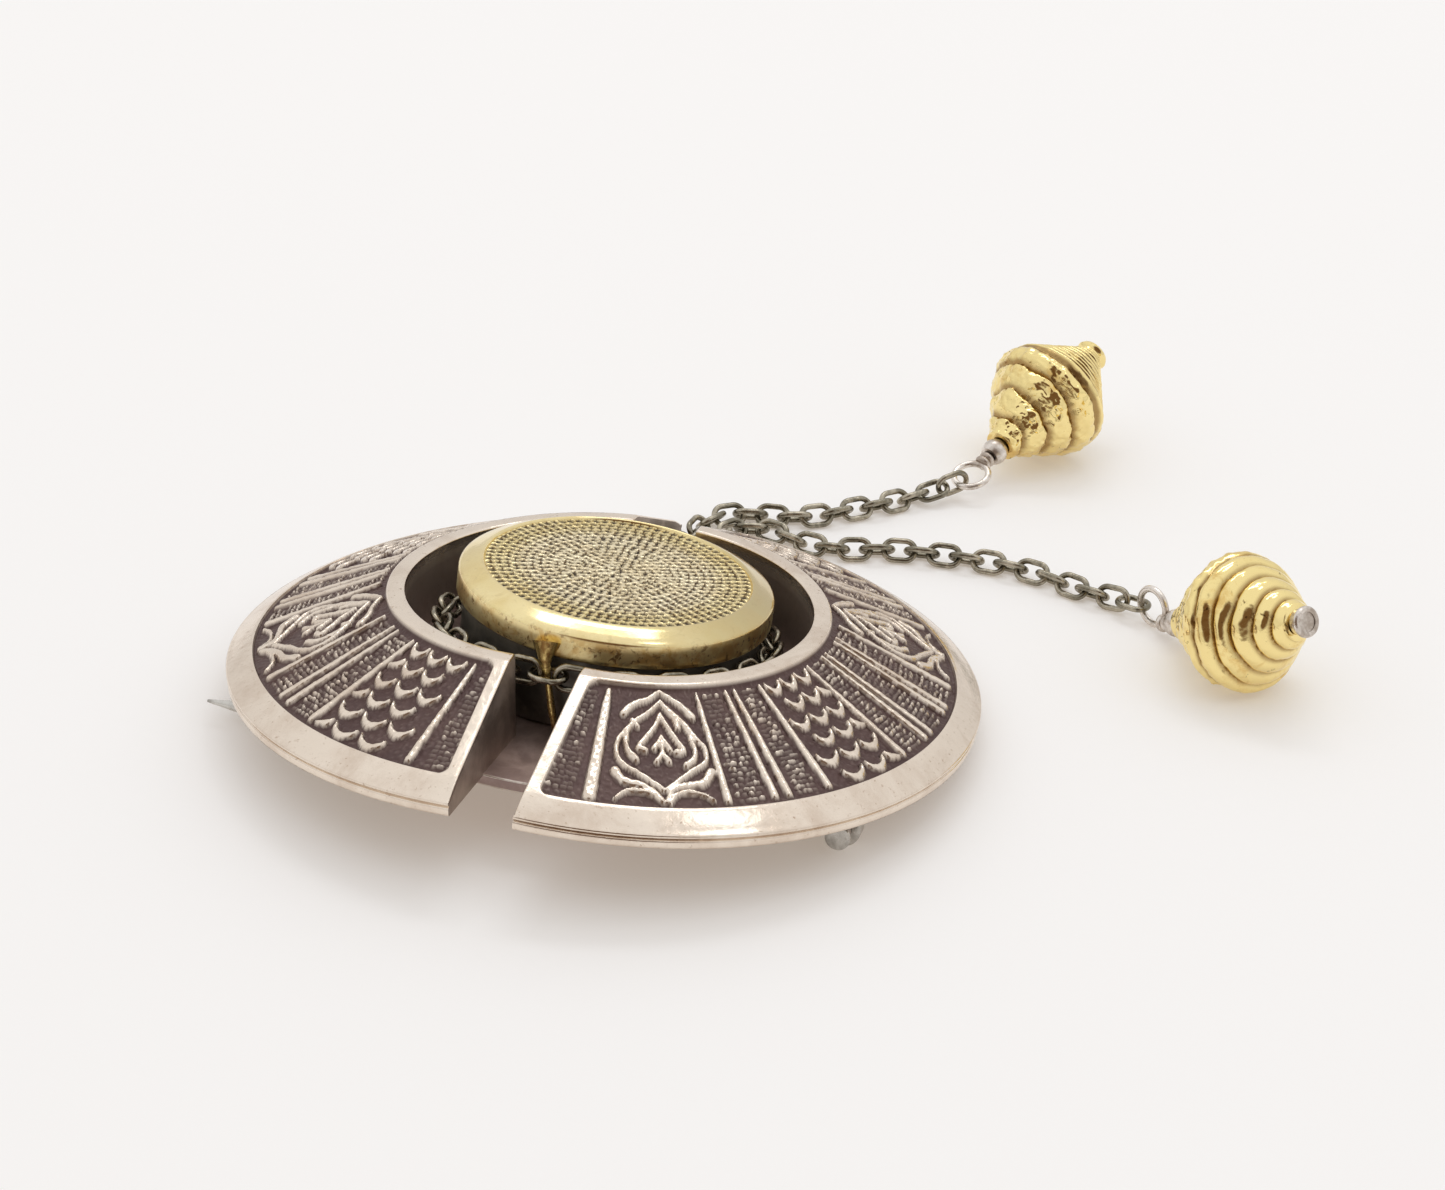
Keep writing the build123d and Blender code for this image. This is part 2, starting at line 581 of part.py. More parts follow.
def one_solid(piece):
    """The single solid of a piece, so that a stray fragment shows up as an error."""
    solids = piece.solids()
    if len(solids) != 1:
        raise ValueError(f"expected one solid and found {len(solids)}")
    return solids[0]


nodes = {
    "silver_frame": LYING * one_solid(silver_frame()),
    "centre_drum": LYING * one_solid(centre_drum()),
    "gold_button": LYING * one_solid(gold_button()),
    "hinge_rivet": LYING * one_solid(hinge_rivet()),
    "pin_stem": LYING * one_solid(pin_stem()),
    "chain_to_near_finial": chain(1, NEAR_ROUTE, NEAR_FINIAL, 0),
    "chain_to_far_finial": chain(-1, FAR_ROUTE, FAR_FINIAL, 1),
}
for side, finial in (("near", NEAR_FINIAL), ("far", FAR_FINIAL)):
    frame = finial_frame(finial)
    nodes[f"{side}_gold_bead"] = frame * one_solid(gold_bead())
    nodes[f"{side}_neck_bead"] = frame * one_solid(neck_bead())
    nodes[f"{side}_headpin"] = frame * one_solid(headpin(finial))

os.makedirs("parts", exist_ok=True)
for name, piece in nodes.items():
    piece.label = name
    export_step(piece, f"parts/{name}.step")
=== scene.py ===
import math

import bmesh
import bpy
import numpy as np
from mathutils import Matrix, Vector, noise


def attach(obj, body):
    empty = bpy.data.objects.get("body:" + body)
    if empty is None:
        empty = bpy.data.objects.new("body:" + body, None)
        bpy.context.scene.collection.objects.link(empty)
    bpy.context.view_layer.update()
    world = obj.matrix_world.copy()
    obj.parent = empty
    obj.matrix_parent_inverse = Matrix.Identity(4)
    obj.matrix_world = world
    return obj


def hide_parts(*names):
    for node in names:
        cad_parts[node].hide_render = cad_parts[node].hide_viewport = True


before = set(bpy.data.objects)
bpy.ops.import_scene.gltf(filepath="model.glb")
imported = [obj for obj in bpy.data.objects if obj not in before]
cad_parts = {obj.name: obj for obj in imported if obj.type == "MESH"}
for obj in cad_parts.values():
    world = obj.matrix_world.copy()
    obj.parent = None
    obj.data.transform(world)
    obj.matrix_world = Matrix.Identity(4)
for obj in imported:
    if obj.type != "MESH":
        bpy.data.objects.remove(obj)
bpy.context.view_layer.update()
MM = 0.001


# Camera, floor and light
# A photo table: a white sheet, soft light overhead and white walls round it. The camera looks down at about
# 30 degrees from the front left, through a long lens. Two soft panels give the long glints on the bevels.
camera_data = bpy.data.cameras.new("camera")
camera_data.lens = 74.74
camera_data.sensor_width = 36.0
camera_data.sensor_fit = "HORIZONTAL"
camera_data.clip_start = 0.01
camera = bpy.data.objects.new("camera", camera_data)
sight = Vector((-0.23280, 0.83609, -0.49675))
rightward = Vector((0.95721, 0.28727, 0.03492))
upward = rightward.cross(sight)
camera.matrix_world = Matrix((
    (rightward.x, upward.x, -sight.x, 0.052783),
    (rightward.y, upward.y, -sight.y, -0.161513),
    (rightward.z, upward.z, -sight.z, 0.105831),
    (0.0, 0.0, 0.0, 1.0),
))
bpy.context.scene.collection.objects.link(camera)
bpy.context.scene.camera = camera
bpy.context.scene.view_settings.view_transform = "Standard"
bpy.context.scene.view_settings.look = "None"


def new_node(tree, kind, place, **values):
    """A shader node with its settings and its unlinked inputs."""
    node = tree.nodes.new(kind)
    node.location = place
    for name, value in values.items():
        if hasattr(node, name):
            setattr(node, name, value)
        else:
            node.inputs[name.replace("_", " ")].default_value = value
    return node


def blank_material(name):
    """A material with only an output and a Principled shader."""
    material = bpy.data.materials.new(name)
    material.use_nodes = True
    tree = material.node_tree
    tree.nodes.clear()
    output = new_node(tree, "ShaderNodeOutputMaterial", (900, 0))
    shader = new_node(tree, "ShaderNodeBsdfPrincipled", (600, 0))
    tree.links.new(shader.outputs["BSDF"], output.inputs["Surface"])
    return material, tree, shader


paper, _, paper_shader = blank_material("white_paper")
paper_shader.inputs["Base Color"].default_value = (0.71, 0.745, 0.785, 1)
paper_shader.inputs["Roughness"].default_value = 0.9
paper_shader.inputs["Specular IOR Level"].default_value = 0.1
paper_shader.inputs["Emission Color"].default_value = (1.0, 0.84, 0.68, 1)
paper_shader.inputs["Emission Strength"].default_value = 0.28
bm = bmesh.new()
bmesh.ops.create_grid(bm, x_segments=1, y_segments=1, size=1.5)
floor_mesh = bpy.data.meshes.new("floor")
bm.to_mesh(floor_mesh)
bm.free()
floor = bpy.data.objects.new("floor", floor_mesh)
floor.data.materials.append(paper)
bpy.context.scene.collection.objects.link(floor)

world = bpy.data.worlds.new("light_tent")
world.use_nodes = True
bpy.context.scene.world = world
tent = world.node_tree
tent.nodes.clear()
tent_output = new_node(tent, "ShaderNodeOutputWorld", (800, 0))
tent_light = new_node(tent, "ShaderNodeBackground", (600, 0), Strength=0.93)
tent_dark = new_node(tent, "ShaderNodeMix", (400, 0), data_type="RGBA")
tent_dark.inputs[7].default_value = (0.17, 0.10, 0.06, 1)
tent_ramp = new_node(tent, "ShaderNodeValToRGB", (100, 100))
tent_height = new_node(tent, "ShaderNodeSeparateXYZ", (-100, 100))
tent_direction = new_node(tent, "ShaderNodeTexCoord", (-500, 0))
lens_side = new_node(tent, "ShaderNodeVectorMath", (-100, -200), operation="DOT_PRODUCT")
lens_side.inputs[1].default_value = -sight
lens_dark = new_node(tent, "ShaderNodeMapRange", (100, -200), interpolation_type="SMOOTHSTEP")
lens_dark.inputs["From Min"].default_value = math.cos(math.radians(35.0))
lens_dark.inputs["From Max"].default_value = math.cos(math.radians(20.0))
tent.links.new(tent_direction.outputs["Generated"], tent_height.inputs["Vector"])
tent.links.new(tent_direction.outputs["Generated"], lens_side.inputs[0])
tent.links.new(lens_side.outputs["Value"], lens_dark.inputs["Value"])
tent.links.new(lens_dark.outputs["Result"], tent_dark.inputs["Factor"])
tent.links.new(tent_height.outputs["Z"], tent_ramp.inputs["Fac"])
tent.links.new(tent_ramp.outputs["Color"], tent_dark.inputs[6])
tent.links.new(tent_dark.outputs[2], tent_light.inputs["Color"])
tent.links.new(tent_light.outputs["Background"], tent_output.inputs["Surface"])
tent_stops = tent_ramp.color_ramp.elements
tent_stops[0].position = 0.02
tent_stops[0].color = (0.80, 0.78, 0.76, 1)
tent_stops[1].position = 0.8
tent_stops[1].color = (1.0, 1.0, 1.0, 1)
tent_middle = tent_stops.new(0.3)
tent_middle.color = (0.88, 0.87, 0.86, 1)


def soft_panel(name, place, width, depth, radiance):
    """A bright soft panel that faces the brooch, by its size in metres and its brightness."""
    lamp = bpy.data.lights.new(name, "AREA")
    lamp.shape = "RECTANGLE"
    lamp.size = width
    lamp.size_y = depth
    lamp.energy = radiance * math.pi * width * depth
    panel = bpy.data.objects.new(name, lamp)
    panel.location = place
    panel.rotation_euler = (-Vector(place)).to_track_quat("-Z", "Y").to_euler()
    bpy.context.scene.collection.objects.link(panel)


soft_panel("back_panel", (-0.06, 0.29, 0.56), 0.34, 0.10, 3.6)
soft_panel("right_panel", (0.18, 0.15, 0.56), 0.10, 0.07, 3.2)


# Silver half saucers
# Two cast hollow half rings with a broad bevel, a sunk dark field with raised ornament and stippled strips,
# and narrow borders. They are soldered to the back plate 4 mm apart, and the high places are rubbed bright.
# Lengths are in mm of the brooch's flat frame. The back hinge lug's foot sets how high the brooch lies.
PIN_Y, PIN_Z = -10.4, -2.55
LUG_RADIUS, LUG_THICKNESS, LUG_OFFSET = 1.2, 0.9, 1.03
REST_LEAN = math.radians(6.2)
REST_CLEARANCE = 0.02
REST_HEIGHT = ((LUG_RADIUS - PIN_Z) * math.cos(REST_LEAN)
               + (PIN_Y + LUG_OFFSET + LUG_THICKNESS / 2) * math.sin(REST_LEAN) + REST_CLEARANCE)
LYING = Matrix.Translation((0, 0, REST_HEIGHT)) @ Matrix.Rotation(-REST_LEAN, 4, "X")
HALF_SLOT, SLOT_EDGE, SIDE_BORDER_EDGE = 2.0, 0.7, 1.5
HALF_LEAN = math.radians(2.7)
HALF_PLACE = (Matrix.Translation((HALF_SLOT, 0, 0)) @ Matrix.Rotation(HALF_LEAN, 4, "Y")
              @ Matrix.Translation((-SLOT_EDGE, 0, 0)))
OPENING, CROWN, FIELD_EDGE = 11.9, 13.05, 21.9
FIELD_SLOPE = math.tan(math.radians(22.9))
FIELD_DEPTH, BEVEL_TOP, SHELL_THICKNESS = 0.4, 1.9, 1.25
FIELD_ROWS, FIELD_COLUMNS = 100, 640
EDGE_STEPS = np.array((0.0, 0.03, 0.08, 0.15, 0.3, 0.45, 0.6, 0.7, 0.76))
EDGE_ROUNDING = 0.12
ORNAMENT_FOOT, ORNAMENT_REACH = 13.3, 8.35
RELIEF_HEIGHT, PALMETTE_HEIGHT, STIPPLE_HEIGHT, WORN_STIPPLE_HEIGHT = 0.37, 0.38, 0.29, 0.24
SCALE_ROWS, SCALES_FOOT = 6, 13.55
CRESCENT = ((-0.42, -0.24), (-0.32, 0.18), (-0.02, 0.50), (0.29, 0.22), (0.41, -0.20))
GRAIN_ROWS, GRAINS_FOOT, GRAIN_PITCH, GRAIN_HALF_WIDTH = 22, 13.75, 0.355, 0.11

# The ornament of each half by degrees round from the front slot: a bar's middle and width, and where each
# panel or strip starts and ends
HALVES = {
    "right": {
        "bars": ((34.8, 0.5), (43.0, 0.5), (45.6, 0.5), (53.5, 0.5), (72.6, 0.5), (80.8, 0.5), (83.3, 0.5),
                 (91.7, 0.5), (94.1, 0.5), (102.2, 0.5), (126.5, 0.5), (135.0, 0.5), (137.6, 0.5),
                 (146.5, 0.5), (167.5, 0.5), (12.0, 0.85)),
        "scales": ((54.6, 71.4), (148.0, 165.6)),
        "palmettes": ((15.2, 33.8), (104.5, 124.3)),
        "stipples": ((36.5, 41.5), (47.5, 51.5), (74.5, 79.0), (85.0, 90.0), (95.5, 100.5), (129.0, 134.0),
                     (140.0, 144.5)),
        "worn_stipples": ((4.5, 9.5), (170.0, 175.5)),
    },
    "left": {
        "bars": ((11.7, 0.5), (34.6, 0.5), (42.6, 0.5), (45.6, 0.5), (53.2, 0.5), (76.4, 0.5), (83.8, 0.5),
                 (86.6, 0.5), (95.0, 0.5), (98.0, 0.5), (119.5, 0.5), (127.5, 0.5), (130.2, 0.5),
                 (137.8, 0.5), (159.8, 0.5), (168.0, 0.85)),
        "scales": ((13.8, 33.2), (99.8, 117.8)),
        "palmettes": ((55.0, 75.0), (139.4, 158.4)),
        "stipples": ((36.0, 41.0), (47.0, 51.5), (78.0, 82.0), (88.5, 93.5), (121.0, 125.5), (132.0, 136.0)),
        "worn_stipples": ((4.0, 9.0), (161.0, 166.0), (170.0, 175.5)),
    },
}
# Strokes of a palmette as points (share across half its width, share out over the field), then the half
# width in mm at the first and at the last point
PALMETTE_STROKES = (
    (((0.05, 0.02), (-0.27, 0.09), (-0.66, 0.14), (-0.88, 0.22)), 0.15, 0.27),
    (((0.05, 0.02), (0.39, 0.09), (0.65, 0.16), (0.83, 0.24)), 0.15, 0.26),
    (((0.05, 0.11), (-0.28, 0.21), (-0.60, 0.29), (-0.76, 0.37), (-0.78, 0.46)), 0.14, 0.22),
    (((0.05, 0.11), (0.31, 0.20), (0.53, 0.28), (0.67, 0.38), (0.76, 0.44)), 0.14, 0.21),
    (((-0.69, 0.28), (-0.62, 0.29), (-0.53, 0.33)), 0.12, 0.19),
    (((0.08, 0.13), (0.20, 0.18), (0.38, 0.26), (0.42, 0.33)), 0.12, 0.23),
    (((-0.76, 0.35), (-0.95, 0.46), (-0.95, 0.58), (-0.79, 0.67), (-0.46, 0.74), (-0.05, 0.86)), 0.16, 0.19),
    (((0.57, 0.29), (0.79, 0.43), (0.93, 0.52), (0.86, 0.63), (0.52, 0.71), (0.02, 0.86)), 0.16, 0.19),
    (((-0.80, 0.45), (-0.71, 0.55), (-0.55, 0.61)), 0.14, 0.26),
    (((0.65, 0.42), (0.71, 0.52), (0.64, 0.60), (0.46, 0.65)), 0.14, 0.24),
    (((0.02, 0.22), (-0.12, 0.32), (-0.36, 0.43), (-0.50, 0.51), (-0.36, 0.53)), 0.16, 0.23),
    (((0.04, 0.24), (0.20, 0.35), (0.35, 0.45), (0.46, 0.53), (0.30, 0.54)), 0.16, 0.23),
    (((0.00, 0.41), (-0.07, 0.46), (-0.17, 0.51)), 0.12, 0.22),
    (((0.00, 0.41), (0.07, 0.46), (0.17, 0.52)), 0.12, 0.22),
    (((0.00, 0.47), (0.00, 0.52), (0.00, 0.57)), 0.14, 0.16),
    (((0.00, 0.54), (-0.05, 0.58), (-0.13, 0.62)), 0.14, 0.20),
    (((0.00, 0.54), (0.05, 0.58), (0.13, 0.62)), 0.14, 0.20),
    (((-0.06, 0.96), (-0.20, 0.89), (-0.46, 0.83), (-0.77, 0.80), (-0.95, 0.72)), 0.18, 0.32),
    (((0.02, 0.96), (0.13, 0.86), (0.43, 0.82), (0.73, 0.80), (0.93, 0.71)), 0.18, 0.32),
    (((-0.10, 0.95), (-0.26, 0.90), (-0.53, 0.88), (-0.76, 0.90), (-0.91, 0.96)), 0.18, 0.12),
    (((0.06, 0.97), (0.19, 0.90), (0.39, 0.88), (0.65, 0.90), (0.85, 0.96)), 0.18, 0.12),
)


def smooth_step(low, high, value):
    """0 under low, 1 over high, and a smooth rise between."""
    share = np.clip((value - low) / (high - low), 0.0, 1.0)
    return share * share * (3.0 - 2.0 * share)


def plan_point(angle, radius):
    """A point in plan by its angle from the front slot."""
    return np.array((radius * math.sin(math.radians(angle)), -radius * math.cos(math.radians(angle))))


def flowing(points, steps=5):
    """Points of a smooth curve through given points, with so many steps from each to the next."""
    points = [2 * points[0] - points[1]] + list(points) + [2 * points[-1] - points[-2]]
    curve = []
    for before, start, end, after in zip(points, points[1:], points[2:], points[3:]):
        for step in range(steps):
            share = step / steps
            curve.append(0.5 * (2 * start + (end - before) * share
                                + (2 * before - 5 * start + 4 * end - after) * share ** 2
                                + (3 * start - before - 3 * end + after) * share ** 3))
    return np.array(curve + [points[-2]])


def raise_bead(height, x, y, points, half_widths, tall):
    """Raises a rounded bead of metal along a line of points."""
    reach = max(half_widths)
    low = points.min(axis=0) - reach
    high = points.max(axis=0) + reach
    near = np.nonzero((x > low[0]) & (x < high[0]) & (y > low[1]) & (y < high[1]))[0]
    near_x = x[near]
    near_y = y[near]
    bead = height[near]
    for start, end, start_width, end_width in zip(points, points[1:], half_widths, half_widths[1:]):
        run = end - start
        share = ((near_x - start[0]) * run[0] + (near_y - start[1]) * run[1]) / (run @ run)
        share = np.clip(share, 0.0, 1.0)
        away = np.hypot(near_x - start[0] - share * run[0], near_y - start[1] - share * run[1])
        ratio = away / (start_width + share * (end_width - start_width))
        bead = np.maximum(bead, tall * np.sqrt(np.clip(1.0 - ratio ** 3.6, 0.0, 1.0)))
    height[near] = bead


def bars_relief(height, x, y, bars):
    """Radial bars with rounded backs that widen outwards from a blunt point."""
    for angle, width in bars:
        points = np.array([plan_point(angle, radius) for radius in (13.65, 14.6, 17.8, 21.25)])
        half_widths = [width * share for share in (0.22, 0.36, 0.46, 0.55)]
        raise_bead(height, x, y, points, half_widths, RELIEF_HEIGHT)


def scales_relief(height, x, y, panels):
    """Rows of crescents that meet at their tips, staggered row by row, with their backs outwards."""
    for first, last in panels:
        span = (last - first) / 3
        for row in range(SCALE_ROWS):
            radius = SCALES_FOOT + ORNAMENT_REACH * (row + 0.22) / SCALE_ROWS
            shift = 0.5 * (row % 2)
            for column in range(-1, 4):
                middle = first + span * (column + 0.5 + shift)
                spots = [(middle + span * across, radius + out) for across, out in CRESCENT]
                spots = [spot for spot in spots if first - 0.1 < spot[0] < last + 0.1]
                if len(spots) < 3:
                    continue
                points = flowing([plan_point(*spot) for spot in spots])
                half_widths = [0.06 + 0.23 * max(0.0, 1 - abs(2 * (step + 0.5) / len(points) - 1)) ** 0.9
                               for step in range(len(points))]
                raise_bead(height, x, y, points, half_widths, RELIEF_HEIGHT)


def palmettes_relief(height, x, y, panels):
    """Pointed leaf frames round chevrons, with curled leaves above and below."""
    for first, last in panels:
        middle = (first + last) / 2
        half = (last - first) / 2
        for spots, start_width, end_width in PALMETTE_STROKES:
            points = flowing([plan_point(middle + across * half, ORNAMENT_FOOT + ORNAMENT_REACH * out)
                              for across, out in spots])
            half_widths = np.linspace(start_width, end_width, len(points))
            raise_bead(height, x, y, points, half_widths, PALMETTE_HEIGHT)


def stipple_relief(height, x, y, strips, tall, dice):
    """Close rows of small uneven grains that lie across a strip."""
    for first, last in strips:
        for row in range(GRAIN_ROWS):
            radius = GRAINS_FOOT + GRAIN_PITCH * row
            columns = 3 if radius < 17.6 else 4
            lean = dice.uniform(-0.25, 0.25)
            for column in range(columns):
                angle = first + (last - first) * (column + 0.5 + lean) / columns
                spot = plan_point(angle + dice.uniform(-0.2, 0.2), radius + dice.uniform(-0.05, 0.05))
                side = plan_point(angle + 90 + dice.uniform(-22, 22), dice.uniform(0.05, 0.14))
                grain = dice.uniform(0.5, 1.1) * tall
                ends = np.array((spot - side, spot + side))
                raise_bead(height, x, y, ends, [GRAIN_HALF_WIDTH, GRAIN_HALF_WIDTH], grain)


def ornament_relief(x, y, ornament, dice):
    """How high all the ornament of a half stands over its field at each point."""
    relief = np.zeros(len(x))
    bars_relief(relief, x, y, ornament["bars"])
    scales_relief(relief, x, y, ornament["scales"])
    palmettes_relief(relief, x, y, ornament["palmettes"])
    stipple_relief(relief, x, y, ornament["stipples"], STIPPLE_HEIGHT, dice)
    stipple_relief(relief, x, y, ornament["worn_stipples"], WORN_STIPPLE_HEIGHT, dice)
    uneven = np.sin(5.1 * x + 1.3 * y) * np.sin(4.3 * y - 2.1 * x) + np.sin(11.0 * x) * np.sin(12.7 * y)
    return relief * (1.0 + 0.05 * uneven)


def cast_floor(rows, columns, dice):
    """The grainy floor of the field, as a height for each row and column of a grid."""
    grain = dice.normal(0.0, 1.0, (rows, columns))
    grain = (grain + np.roll(grain, 1, axis=0) + np.roll(grain, 1, axis=1)
             + np.roll(grain, (1, 1), axis=(0, 1)))
    return 0.04 + 0.022 * np.clip(grain / 2, -2.0, 2.0)


# The parts of a half's section, in order from the collar's wall over the top and back inside
WALL, COLLAR, FIELD, BEVEL, RIM, FOOT, INSIDE = range(7)
RIM_OUTLINE = ((23.55, 0.97), (23.62, 0.90), (23.62, 0.80), (23.56, 0.73), (23.45, 0.70), (23.43, 0.60),
               (23.54, 0.56), (23.58, 0.48), (23.57, 0.2), (23.54, 0.06), (23.45, 0.0))


def section_stations():
    """The closed section of a half as (radius, height, part)."""
    crown_height = BEVEL_TOP + (FIELD_EDGE - CROWN) * FIELD_SLOPE
    top = crown_height + 0.08
    stations = [(OPENING, height, WALL) for height in (0.0, 1.5, 3.0, 4.4, 5.2)]
    for turn in (0.0, 30.0, 60.0, 90.0):
        angle = math.radians(turn)
        stations.append((OPENING + 0.14 * (1 - math.cos(angle)), top - 0.14 * (1 - math.sin(angle)), COLLAR))
    for share in (0.3, 0.55, 0.8):
        swell = 0.03 * math.sin(math.pi * share)
        stations.append((OPENING + 1.15 * share, top - 0.08 * share + swell, COLLAR))
    for radius in np.linspace(CROWN - 0.06, FIELD_EDGE + 0.06, FIELD_ROWS):
        stations.append((radius, BEVEL_TOP + (FIELD_EDGE - radius) * FIELD_SLOPE, FIELD))
    for share in (0.15, 0.35, 0.55, 0.75, 0.9):
        swell = 0.06 * math.sin(math.pi * share)
        stations.append((FIELD_EDGE + 1.7 * share, BEVEL_TOP - share + swell, BEVEL))
    stations += [(radius, height, RIM) for radius, height in RIM_OUTLINE]
    stations += [(23.1, 0.0, FOOT), (22.65, 0.0, FOOT)]
    for radius in (22.64, 20.0, 17.5, 15.0, 12.76):
        height = BEVEL_TOP + (FIELD_EDGE - radius) * FIELD_SLOPE - SHELL_THICKNESS
        stations.append((radius, height, INSIDE))
    stations += [(12.75, 0.0, FOOT), (12.3, 0.0, FOOT), (OPENING, 0.0, FOOT)]
    return np.array(stations)


def grid_mesh(name, x_segments, y_segments):
    """A flat square grid as a mesh, with its points' x and y, which go from -1 to 1."""
    bm = bmesh.new()
    bmesh.ops.create_grid(bm, x_segments=x_segments, y_segments=y_segments, size=1.0)
    mesh = bpy.data.meshes.new(name)
    bm.to_mesh(mesh)
    bm.free()
    flat = np.empty(len(mesh.vertices) * 3)
    mesh.vertices.foreach_get("co", flat)
    flat = flat.reshape(-1, 3)
    return mesh, flat[:, 0], flat[:, 1]


def paint(mesh, name, values):
    """Keeps a value at each point of a mesh, which its material reads by this name."""
    mesh.attributes.new(name, "FLOAT", "POINT").data.foreach_set("value", values)


def half_saucer(side, ornament, seed):
    """One half as a closed bmesh in place, with how bright each point is rubbed kept on it."""
    dice = np.random.default_rng(seed)
    stations = section_stations()
    edge_columns = len(EDGE_STEPS)
    columns = FIELD_COLUMNS + 2 * edge_columns
    mesh, across, out = grid_mesh("saucer_grid_" + side, columns - 1, len(stations) - 1)
    column = np.rint((across + 1) / 2 * (columns - 1)).astype(int)
    station = np.rint((out + 1) / 2 * (len(stations) - 1)).astype(int)
    radius, level, part = stations[station].T
    edge_x = np.full(columns, SIDE_BORDER_EDGE)
    edge_x[:edge_columns] = SLOT_EDGE + EDGE_STEPS
    edge_x[-edge_columns:] = SLOT_EDGE + EDGE_STEPS[::-1]
    along = np.clip((np.arange(columns) - edge_columns) / (FIELD_COLUMNS - 1), 0.0, 1.0)
    near_angle = np.arcsin(edge_x[column] / radius)
    angle = near_angle + along[column] * (math.pi - 2 * near_angle)
    angle = np.where(column >= columns - edge_columns, math.pi - near_angle, angle)
    x = radius * np.sin(angle)
    y = -radius * np.cos(angle)

    relief = ornament_relief(x, y, ornament, dice)
    relief = np.maximum(relief, cast_floor(len(stations), columns, dice)[station, column])
    corner = 0.7
    to_ring = np.minimum(radius - CROWN, FIELD_EDGE - radius)
    to_side = x - SIDE_BORDER_EDGE
    into_field = corner - np.hypot(np.maximum(corner - to_ring, 0.0), np.maximum(corner - to_side, 0.0))
    border = 1.0 - smooth_step(0.0, 0.2, into_field)
    in_field = part == FIELD
    sunk = FIELD_DEPTH * (1.0 - np.maximum(border, relief / FIELD_DEPTH))
    z = np.where(in_field, level - sunk, level)
    on_top = (part >= COLLAR) & (part <= BEVEL)
    edge = np.clip((x - SLOT_EDGE) / EDGE_ROUNDING, 0.0, 1.0)
    z = z - np.where(on_top, EDGE_ROUNDING * (1.0 - np.sqrt(1.0 - (1.0 - edge) ** 2)), 0.0)
    z = np.where((part == INSIDE) & (x < SIDE_BORDER_EDGE + 0.02), 0.0, z)

    high = np.maximum(smooth_step(0.17, 0.29, relief), 0.14 * smooth_step(0.05, 0.12, relief))
    rubbed_and_pit_shade = np.where(in_field, np.maximum(smooth_step(0.3, 0.95, border), high), 1.0)
    rubbed_and_pit_shade = np.where(part == WALL, 0.28 + 0.5 * smooth_step(4.6, 5.2, level), rubbed_and_pit_shade)
    rubbed_and_pit_shade = np.where(part >= FOOT, 0.45, rubbed_and_pit_shade)

    places = np.array(HALF_PLACE) @ np.stack((x, y, z, np.ones(len(x))))
    if side == "left":
        places[0] *= -1
    places = (np.array(LYING) @ places)[:3].T * MM
    mesh.vertices.foreach_set("co", places.ravel())
    paint(mesh, "rubbed_and_pit_shade", rubbed_and_pit_shade)
    bm = bmesh.new()
    bm.from_mesh(mesh)
    bmesh.ops.remove_doubles(bm, verts=bm.verts, dist=1e-7)
    ends = [e for e in bm.edges if e.is_boundary]
    for cap in bmesh.ops.holes_fill(bm, edges=ends, sides=0)["faces"]:
        cap.material_index = 1
    return bm


def group_socket(group, name, direction, kind, value=None):
    """A named input or output of a node group."""
    socket = group.interface.new_socket(name=name, in_out=direction, socket_type=kind)
    if value is not None:
        socket.default_value = value
    return socket


tarnish = bpy.data.node_groups.new("tarnish", "ShaderNodeTree")
group_socket(tarnish, "Patch scale", "INPUT", "NodeSocketFloat", 300.0)
group_socket(tarnish, "Threshold", "INPUT", "NodeSocketFloat", 0.5)
group_socket(tarnish, "Softness", "INPUT", "NodeSocketFloat", 0.1)
group_socket(tarnish, "Mask", "OUTPUT", "NodeSocketFloat")
inside = new_node(tarnish, "NodeGroupInput", (-800, 0))
outside = new_node(tarnish, "NodeGroupOutput", (400, 0))
where = new_node(tarnish, "ShaderNodeTexCoord", (-800, 200))
patches = new_node(tarnish, "ShaderNodeTexNoise", (-500, 100), Detail=6.0, Roughness=0.68, Distortion=0.4)
low = new_node(tarnish, "ShaderNodeMath", (-500, -150), operation="SUBTRACT")
high = new_node(tarnish, "ShaderNodeMath", (-500, -320), operation="ADD")
ramp = new_node(tarnish, "ShaderNodeMapRange", (-200, 0), interpolation_type="SMOOTHSTEP")
tarnish.links.new(where.outputs["Object"], patches.inputs["Vector"])
tarnish.links.new(inside.outputs["Patch scale"], patches.inputs["Scale"])
tarnish.links.new(inside.outputs["Threshold"], low.inputs[0])
tarnish.links.new(inside.outputs["Softness"], low.inputs[1])
tarnish.links.new(inside.outputs["Threshold"], high.inputs[0])
tarnish.links.new(inside.outputs["Softness"], high.inputs[1])
tarnish.links.new(patches.outputs["Fac"], ramp.inputs["Value"])
tarnish.links.new(low.outputs["Value"], ramp.inputs["From Min"])
tarnish.links.new(high.outputs["Value"], ramp.inputs["From Max"])
tarnish.links.new(ramp.outputs["Result"], outside.inputs["Mask"])


def tarnish_mask(tree, place, scale, threshold, softness):
    """The tarnish group with its values, as a mask's output socket."""
    node = new_node(tree, "ShaderNodeGroup", place)
    node.node_tree = tarnish
    node.inputs["Patch scale"].default_value = scale
    node.inputs["Threshold"].default_value = threshold
    node.inputs["Softness"].default_value = softness
    return node.outputs["Mask"]


def mixed(tree, place, mask, first, second):
    """A colour mix of two colours or colour sockets by a mask's socket."""
    node = new_node(tree, "ShaderNodeMix", place, data_type="RGBA")
    tree.links.new(mask, node.inputs["Factor"])
    for socket, colour in ((node.inputs[6], first), (node.inputs[7], second)):
        if isinstance(colour, tuple):
            socket.default_value = colour
        else:
            tree.links.new(colour, socket)
    return node.outputs[2]


